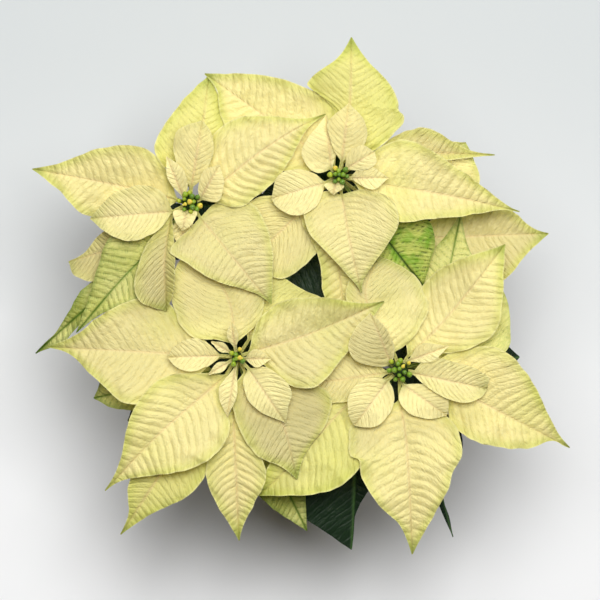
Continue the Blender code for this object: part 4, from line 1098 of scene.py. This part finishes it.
def bud_shape(size, tall, bottom, crown, tip):
    """Points, faces and colours of one bud: a furrowed egg with a lobed, puckered top, its colour running
    from a dark base, partly painted shade, to a light crown, partly painted light.
    """
    points = []
    rings = []
    colours = []
    for radius, height in BUD_OUTLINE:
        # Dark base to light crown: partly painted shade and painted light.
        colour = over(np.array(bottom), crown, ramp(height, 0.25, 1.45))
        colour = over(colour, tip, ramp(height, 1.56, 1.66))
        count = BUD_SIDES if radius > 0 else 1
        rings.append(range(len(points), len(points) + count))
        colours += [tuple(colour)] * count
        for turn in turns(count):
            lobe = 1 + 0.08 * math.cos(3 * turn) * (0.3 + ramp(height, 0.5, 1.6))
            points.append((*polar(size * radius * lobe, turn), tall * height / BUD_TOP))
    return points, ring_faces(rings), colours


def build_flowers(head, look):
    """Uneven cluster of buds on short stalks over a small dish, darkened as painted shade between the buds; a
    few are ripe and have a nectar cup.
    """
    x, y, top = HEADS[head]
    chance = random.Random("abcd".index(head) + 5)
    inner, outer, near, far = CLUSTERS[head]
    vertices = []
    faces = []
    colours = []
    spots = [(chance.uniform(-0.7, 0.7), chance.uniform(-0.7, 0.7))]
    for count, reach in ((inner, near), (outer, far)):
        start = chance.uniform(0, 6.28)
        for bud in range(count):
            turn = start + 2 * math.pi * bud / count + chance.uniform(-0.28, 0.28)
            away = reach + chance.uniform(-0.7, 0.8)
            spots.append(polar(away, turn))

    def add(points, shape_faces, tints):
        first = len(vertices)
        vertices.extend(points)
        faces.extend([first + corner for corner in face] for face in shape_faces)
        colours.extend(tints)

    for away_x, away_y in spots:
        away = math.hypot(away_x, away_y)
        size = chance.uniform(1.45, 2.15)
        tall = size * chance.uniform(2.1, 2.7)
        ripe = chance.random() < 0.3
        crown = RIPE_CROWN if ripe else chance.choice(BUD_CROWNS_IN_LIGHT)
        tip = STIGMA if ripe else tuple(0.7 * value for value in crown)
        points, shape_faces, tints = bud_shape(size, tall, chance.choice(BUD_BASES_IN_SHADE), crown, tip)
        axis = Vector((-away_y, away_x, 0.0)) if away > 0.1 else Vector((1, 0, 0))
        tilt = Matrix.Rotation(0.075 * away + chance.uniform(-0.12, 0.12), 3, axis)
        spin = Matrix.Rotation(chance.uniform(0, 6.28), 3, "Z")
        lift = 1.9 + chance.uniform(-1.2, 1.3) - 0.05 * away**2
        place = Vector((x + away_x, y + away_y, top + lift))
        add([place + tilt @ spin @ Vector(point) for point in points], shape_faces, tints)
        foot = Vector((x + 0.5 * away_x, y + 0.5 * away_y, top - 1.8))
        line = [foot, (foot + place) / 2, place + Vector((0, 0, 0.4))]
        stalk = np.concatenate(tube_rings(line, STALK_RADII, STALK_SIDES))
        add(stalk, tube_faces(len(line), STALK_SIDES), [BUD_STALK] * len(stalk))
        if ripe and away > 1.0:
            way = Vector((away_x, away_y, 0.0)).normalized()
            cup_place = place + way * size * 0.85 + Vector((0, 0, tall * 0.5))
            cup, cup_faces, cup_tints = bud_shape(0.8, 1.1, CUP_BASE, RIPE_CROWN, RIPE_CROWN)
            lean = Matrix.Rotation(0.9, 3, Vector((-way.y, way.x, 0.0)))
            add([cup_place + lean @ Vector(point) for point in cup], cup_faces, cup_tints)
    # Dark dish under the buds, painting the shade between them.
    dish = []
    for reach_share, height in DISH_OUTLINE:
        for turn in turns(DISH_SIDES):
            away_x, away_y = polar(far * reach_share * (1 + 0.05 * math.cos(7 * turn)), turn)
            dish.append((x + away_x, y + away_y, top + CLEARANCE + height))
    add(dish, tube_faces(len(DISH_OUTLINE), DISH_SIDES), [DISH_SHADE_GREEN] * len(dish))
    item = mesh_piece(f"buds_{head}", vertices, faces, look)
    store_tint(item.data, np.array(colours))
    finish_piece(item, "flowers", f"flowers_{head}")


class Look:
    """Small helper round a material's node tree."""

    def __init__(self, name):
        self.material = bpy.data.materials.new(name)
        self.material.use_nodes = True
        self.tree = self.material.node_tree
        self.shader = self.tree.nodes["Principled BSDF"]
        self.end = self.tree.nodes["Material Output"]

    def node(self, kind, inputs=None, **settings):
        """New node with some settings, and with values or links for its inputs."""
        made = self.tree.nodes.new(kind)
        for key, value in settings.items():
            setattr(made, key, value)
        for key, value in (inputs or {}).items():
            self.put(made, key, value)
        return made

    def put(self, target, key, value):
        """Give an input a value or link it to another node's output."""
        if isinstance(value, bpy.types.NodeSocket):
            self.tree.links.new(value, target.inputs[key])
        else:
            target.inputs[key].default_value = value

    def shade(self, **values):
        """Set inputs of the main shader; an underscore in a name stands for a space."""
        for key, value in values.items():
            self.put(self.shader, key.replace("_", " "), value)

    def place(self):
        """Object coordinates, in metres."""
        return self.node("ShaderNodeTexCoord").outputs["Object"]

    def stored(self, name, output):
        """Colour or numbers that come with the mesh."""
        return self.node("ShaderNodeAttribute", attribute_name=name).outputs[output]

    def parts(self, vector):
        """The three numbers of a vector, by the name of their axis."""
        return self.node("ShaderNodeSeparateXYZ", {"Vector": vector}).outputs

    def stretched(self, vector, *scale):
        """Vector scaled along each axis."""
        return self.node("ShaderNodeMapping", {"Vector": vector, "Scale": scale}).outputs["Vector"]

    def grain(self, scale, detail=3.0, rough=0.55, place=None):
        """Noise value at a number of grains per metre, or per unit of the place given."""
        inputs = {"Vector": place or self.place(), "Scale": scale, "Detail": detail, "Roughness": rough}
        return self.node("ShaderNodeTexNoise", inputs).outputs["Fac"]

    def cells(self, ribs, along, out):
        """Pillowed cells between the finest veins, from 0 at their borders to 1, along the laterals."""
        inputs = {"Vector": self.stretched(ribs, along, out, 0.0), "Scale": 1.0}
        made = self.node("ShaderNodeTexVoronoi", inputs, feature="DISTANCE_TO_EDGE")
        return self.span(made.outputs["Distance"], 0.0, 0.28)

    def span(self, value, low, high, start=0.0, end=1.0):
        """Smoothly map one range of values to another."""
        inputs = {"Value": value, "From Min": low, "From Max": high, "To Min": start, "To Max": end}
        return self.node("ShaderNodeMapRange", inputs, interpolation_type="SMOOTHSTEP").outputs["Result"]

    def sum(self, one, other, operation="ADD"):
        """Two values put together."""
        return self.node("ShaderNodeMath", {0: one, 1: other}, operation=operation).outputs["Value"]

    def times(self, one, other):
        """Product of two values."""
        return self.sum(one, other, "MULTIPLY")

    def blend(self, share, one, other, mode="MIX"):
        """Two colours mixed by a share."""
        inputs = {0: share, 6: one, 7: other}
        return self.node("ShaderNodeMix", inputs, data_type="RGBA", blend_type=mode).outputs[2]

    def mottled(self, one, other, *grain):
        """Two colours in patches of some grain."""
        return self.blend(self.span(self.grain(*grain), 0.3, 0.7), one, other)

    def bump(self, height, size, strength=1.0):
        """Surface normal from a height given in parts of a size in metres."""
        inputs = {"Height": height, "Distance": size, "Strength": strength}
        return self.node("ShaderNodeBump", inputs).outputs["Normal"]


def petal_look(name, through, see_through, rough, line_share, line_colour):
    """Thin veined blade: its tint comes with the mesh, light shines through it.

    The stored ribs hold the phase of the lateral veins and the ways out from the rib and in from the margin.
    """
    look = Look(name)
    tint = look.stored("tint", "Color")
    ribs = look.stored("ribs", "Vector")
    parts = look.parts(ribs)
    near_vein = look.sum(parts["X"], 0.5, "PINGPONG")
    groove = look.span(near_vein, 0.0, 0.26, 1.0, 0.0)
    vein = look.span(look.sum(near_vein, look.times(look.grain(420.0), 0.10)), 0.03, 0.10, 1.0, 0.0)
    vein = look.times(vein, look.span(parts["Z"], 0.3, 5.0))
    vein = look.times(vein, look.span(look.grain(55.0), 0.32, 0.62, 0.12, 1.0))
    lines = look.sum(vein, look.span(parts["Y"], 0.15, 0.75, 1.0, 0.0), "MAXIMUM")
    coarse = look.cells(ribs, 1.7, 0.24)
    fine = look.cells(ribs, 3.6, 0.62)
    deeper = look.blend(look.times(lines, line_share), tint, line_colour, "MULTIPLY")
    # Darker fine vein net along the cell borders: partly vein colour, partly painted shade in the creases
    # between the pillowed cells.
    vein_net_and_crease_shade = look.span(look.sum(coarse, look.times(fine, 0.5)), 0.10, 0.60, 1.0, 0.0)
    vein_net_and_crease_shade = look.times(vein_net_and_crease_shade, look.span(look.grain(70.0), 0.3, 0.7, 0.04, 0.24))
    colour = look.blend(vein_net_and_crease_shade, deeper, line_colour, "MULTIPLY")
    height = look.times(coarse, 0.8)
    pleats = look.grain(1.0, 3.0, 0.5, look.stretched(ribs, 1.1, 0.10, 0.0))
    rough_skin = look.grain(1500.0)
    trough = parts["Y"]
    for part, share in (
        (fine, 0.35), (groove, -0.85), (lines, -0.5), (rough_skin, 0.25), (pleats, 2.2), (trough, 0.36),
    ):
        height = look.sum(height, look.times(part, share))
    normal = look.bump(height, 0.00026)
    look.shade(Base_Color=colour, Roughness=rough, Specular_IOR_Level=0.3, Normal=normal)
    lit = look.blend(0.75, colour, see_through, "MULTIPLY")
    back = look.node("ShaderNodeBsdfTranslucent", {"Color": lit, "Normal": normal}).outputs["BSDF"]
    front = look.shader.outputs["BSDF"]
    mixed = look.node("ShaderNodeMixShader", {"Fac": through, 1: front, 2: back}).outputs["Shader"]
    look.put(look.end, "Surface", mixed)
    return look.material


def bud_look():
    """Smooth waxy buds, whose tint comes with the mesh."""
    look = Look("flower_buds")
    share = look.span(look.grain(900.0), 0.35, 0.7, 0.0, 0.3)
    colour = look.blend(share, look.stored("tint", "Color"), (0.75, 0.80, 0.5, 1), "MULTIPLY")
    look.shade(Base_Color=colour, Roughness=0.36, Specular_IOR_Level=0.4,
               Normal=look.bump(look.grain(1800.0), 0.0001, 0.5))
    return look.material


def stem_look():
    """Brown corky bark at the foot, passing into a smooth green higher up."""
    look = Look("stem_bark")
    wander = look.times(look.sum(look.grain(60.0), -0.5), 0.05)
    young = look.span(look.sum(look.parts(look.place())["Z"], wander), 0.128, 0.176)
    bark = look.mottled((0.105, 0.070, 0.040, 1), (0.260, 0.205, 0.120, 1), 380.0, 5.0)
    green = look.mottled((0.135, 0.190, 0.045, 1), (0.235, 0.300, 0.085, 1), 240.0)
    streak = look.grain(900.0, 3.0, 0.5, look.stretched(look.place(), 1.0, 1.0, 0.22))
    height = look.times(streak, look.span(young, 0.0, 1.0, 1.0, 0.2))
    look.shade(Base_Color=look.blend(young, bark, green), Roughness=0.6, Specular_IOR_Level=0.35,
               Normal=look.bump(height, 0.0005, 0.7))
    return look.material


def soil_look(name, dark, light):
    """Moist peat: two browns, pale flecks and a rough surface."""
    look = Look(name)
    fleck = look.span(look.grain(1100.0, 2.0), 0.66, 0.74)
    brown = look.mottled(dark, light, 260.0, 5.0, 0.7)
    colour = look.blend(look.times(fleck, 0.5), brown, (0.16, 0.11, 0.06, 1))
    look.shade(Base_Color=colour, Roughness=0.93, Specular_IOR_Level=0.25,
               Normal=look.bump(look.grain(850.0, 6.0, 0.75), 0.0012, 0.9))
    return look.material


def pot_look():
    """Matt terracotta-coloured plastic with a fine grain and slight scuffs."""
    look = Look("pot_plastic")
    tone = look.mottled((0.380, 0.128, 0.066, 1), (0.455, 0.168, 0.090, 1), 22.0, 4.0)
    scuff = look.span(look.grain(150.0, 6.0, 0.8), 0.60, 0.78)
    colour = look.blend(look.times(scuff, 0.3), tone, (0.52, 0.25, 0.16, 1))
    rough = look.span(look.grain(70.0, 3.0), 0.3, 0.7, 0.44, 0.58)
    look.shade(Base_Color=colour, Roughness=rough, Specular_IOR_Level=0.4,
               Normal=look.bump(look.grain(2600.0, 2.0), 0.00006, 0.6))
    return look.material


def floor_look():
    """Pale matt paper floor, lighter towards the front, with the fall of light across it painted in."""
    look = Look("floor_paper")
    lighter = look.span(look.parts(look.place())["Y"], 0.25, -0.25)
    look.shade(Base_Color=look.blend(lighter, FLOOR_FAR_PAINTED_SHADE, FLOOR_NEAR_PAINTED_LIGHT), Roughness=0.9, Specular_IOR_Level=0.1)
    return look.material


def area_light(name, place, size, power):
    """Square lamp turned towards the plant."""
    lamp = bpy.data.lights.new(name, "AREA")
    lamp.shape = "SQUARE"
    lamp.size = size
    lamp.energy = power
    lamp.color = LAMP_COLOUR
    item = bpy.data.objects.new(name, lamp)
    item.location = place
    item.rotation_euler = (Vector(LAMP_AIM) - Vector(place)).to_track_quat("-Z", "Y").to_euler()
    bpy.context.scene.collection.objects.link(item)


def build_stage():
    """Pale floor, soft lamps, sky light and the camera straight above."""
    bpy.ops.mesh.primitive_plane_add(size=FLOOR_SIZE, location=(0, 0, 0))
    floor = bpy.context.object
    floor.name = "floor"
    floor.data.materials.append(floor_look())
    for lamp in LAMPS:
        area_light(*lamp)
    world = bpy.data.worlds.new("sky")
    world.use_nodes = True
    ground = world.node_tree.nodes["Background"]
    ground.inputs["Color"].default_value = SKY_COLOUR
    ground.inputs["Strength"].default_value = SKY_STRENGTH
    bpy.context.scene.world = world
    camera = bpy.data.cameras.new("camera")
    camera.lens = CAMERA_FOCAL
    camera.sensor_width = SENSOR_WIDTH
    camera.clip_start = 0.1
    camera.clip_end = 20.0
    item = bpy.data.objects.new("camera", camera)
    item.location = (0, 0, CAMERA_HEIGHT)
    bpy.context.scene.collection.objects.link(item)
    bpy.context.scene.camera = item
    bpy.context.scene.view_settings.view_transform = "Standard"


def main():
    """Build every visual piece in the CAD model's frame."""
    looks = {kind: petal_look(*values) for kind, values in PETAL_LOOKS.items()}
    settled = settle_leaves(LEAVES + tuple(under_leaf(*row) for row in UNDER_LEAVES))
    for number, (leaf, plan, height) in enumerate(settled):
        piece = build_blade(leaf, plan, height, looks[leaf.kind], number)
        piece.name = f"fine_{leaf.name}"
        finish_piece(piece, leaf.kind, "stem" if leaf.name.startswith("under") else leaf.name)
    for seed, leaf in enumerate(SMALL_BRACTS, SMALL_BRACT_SEED):
        plan = leaf_plan(leaf)
        piece = build_blade(leaf, plan, leaf_wish(leaf, plan), looks["bract"], seed)
        finish_piece(piece, "bract", f"flowers_{leaf_head(leaf)}")
    buds = bud_look()
    for head in HEADS:
        build_flowers(head, buds)
    build_stem(settled, stem_look())
    build_soil(soil_look("soil_peat", (0.020, 0.013, 0.008, 1), (0.062, 0.040, 0.024, 1)),
               soil_look("soil_bits", (0.045, 0.028, 0.016, 1), (0.130, 0.085, 0.048, 1)))
    build_pot(pot_look())
    build_stage()


main()
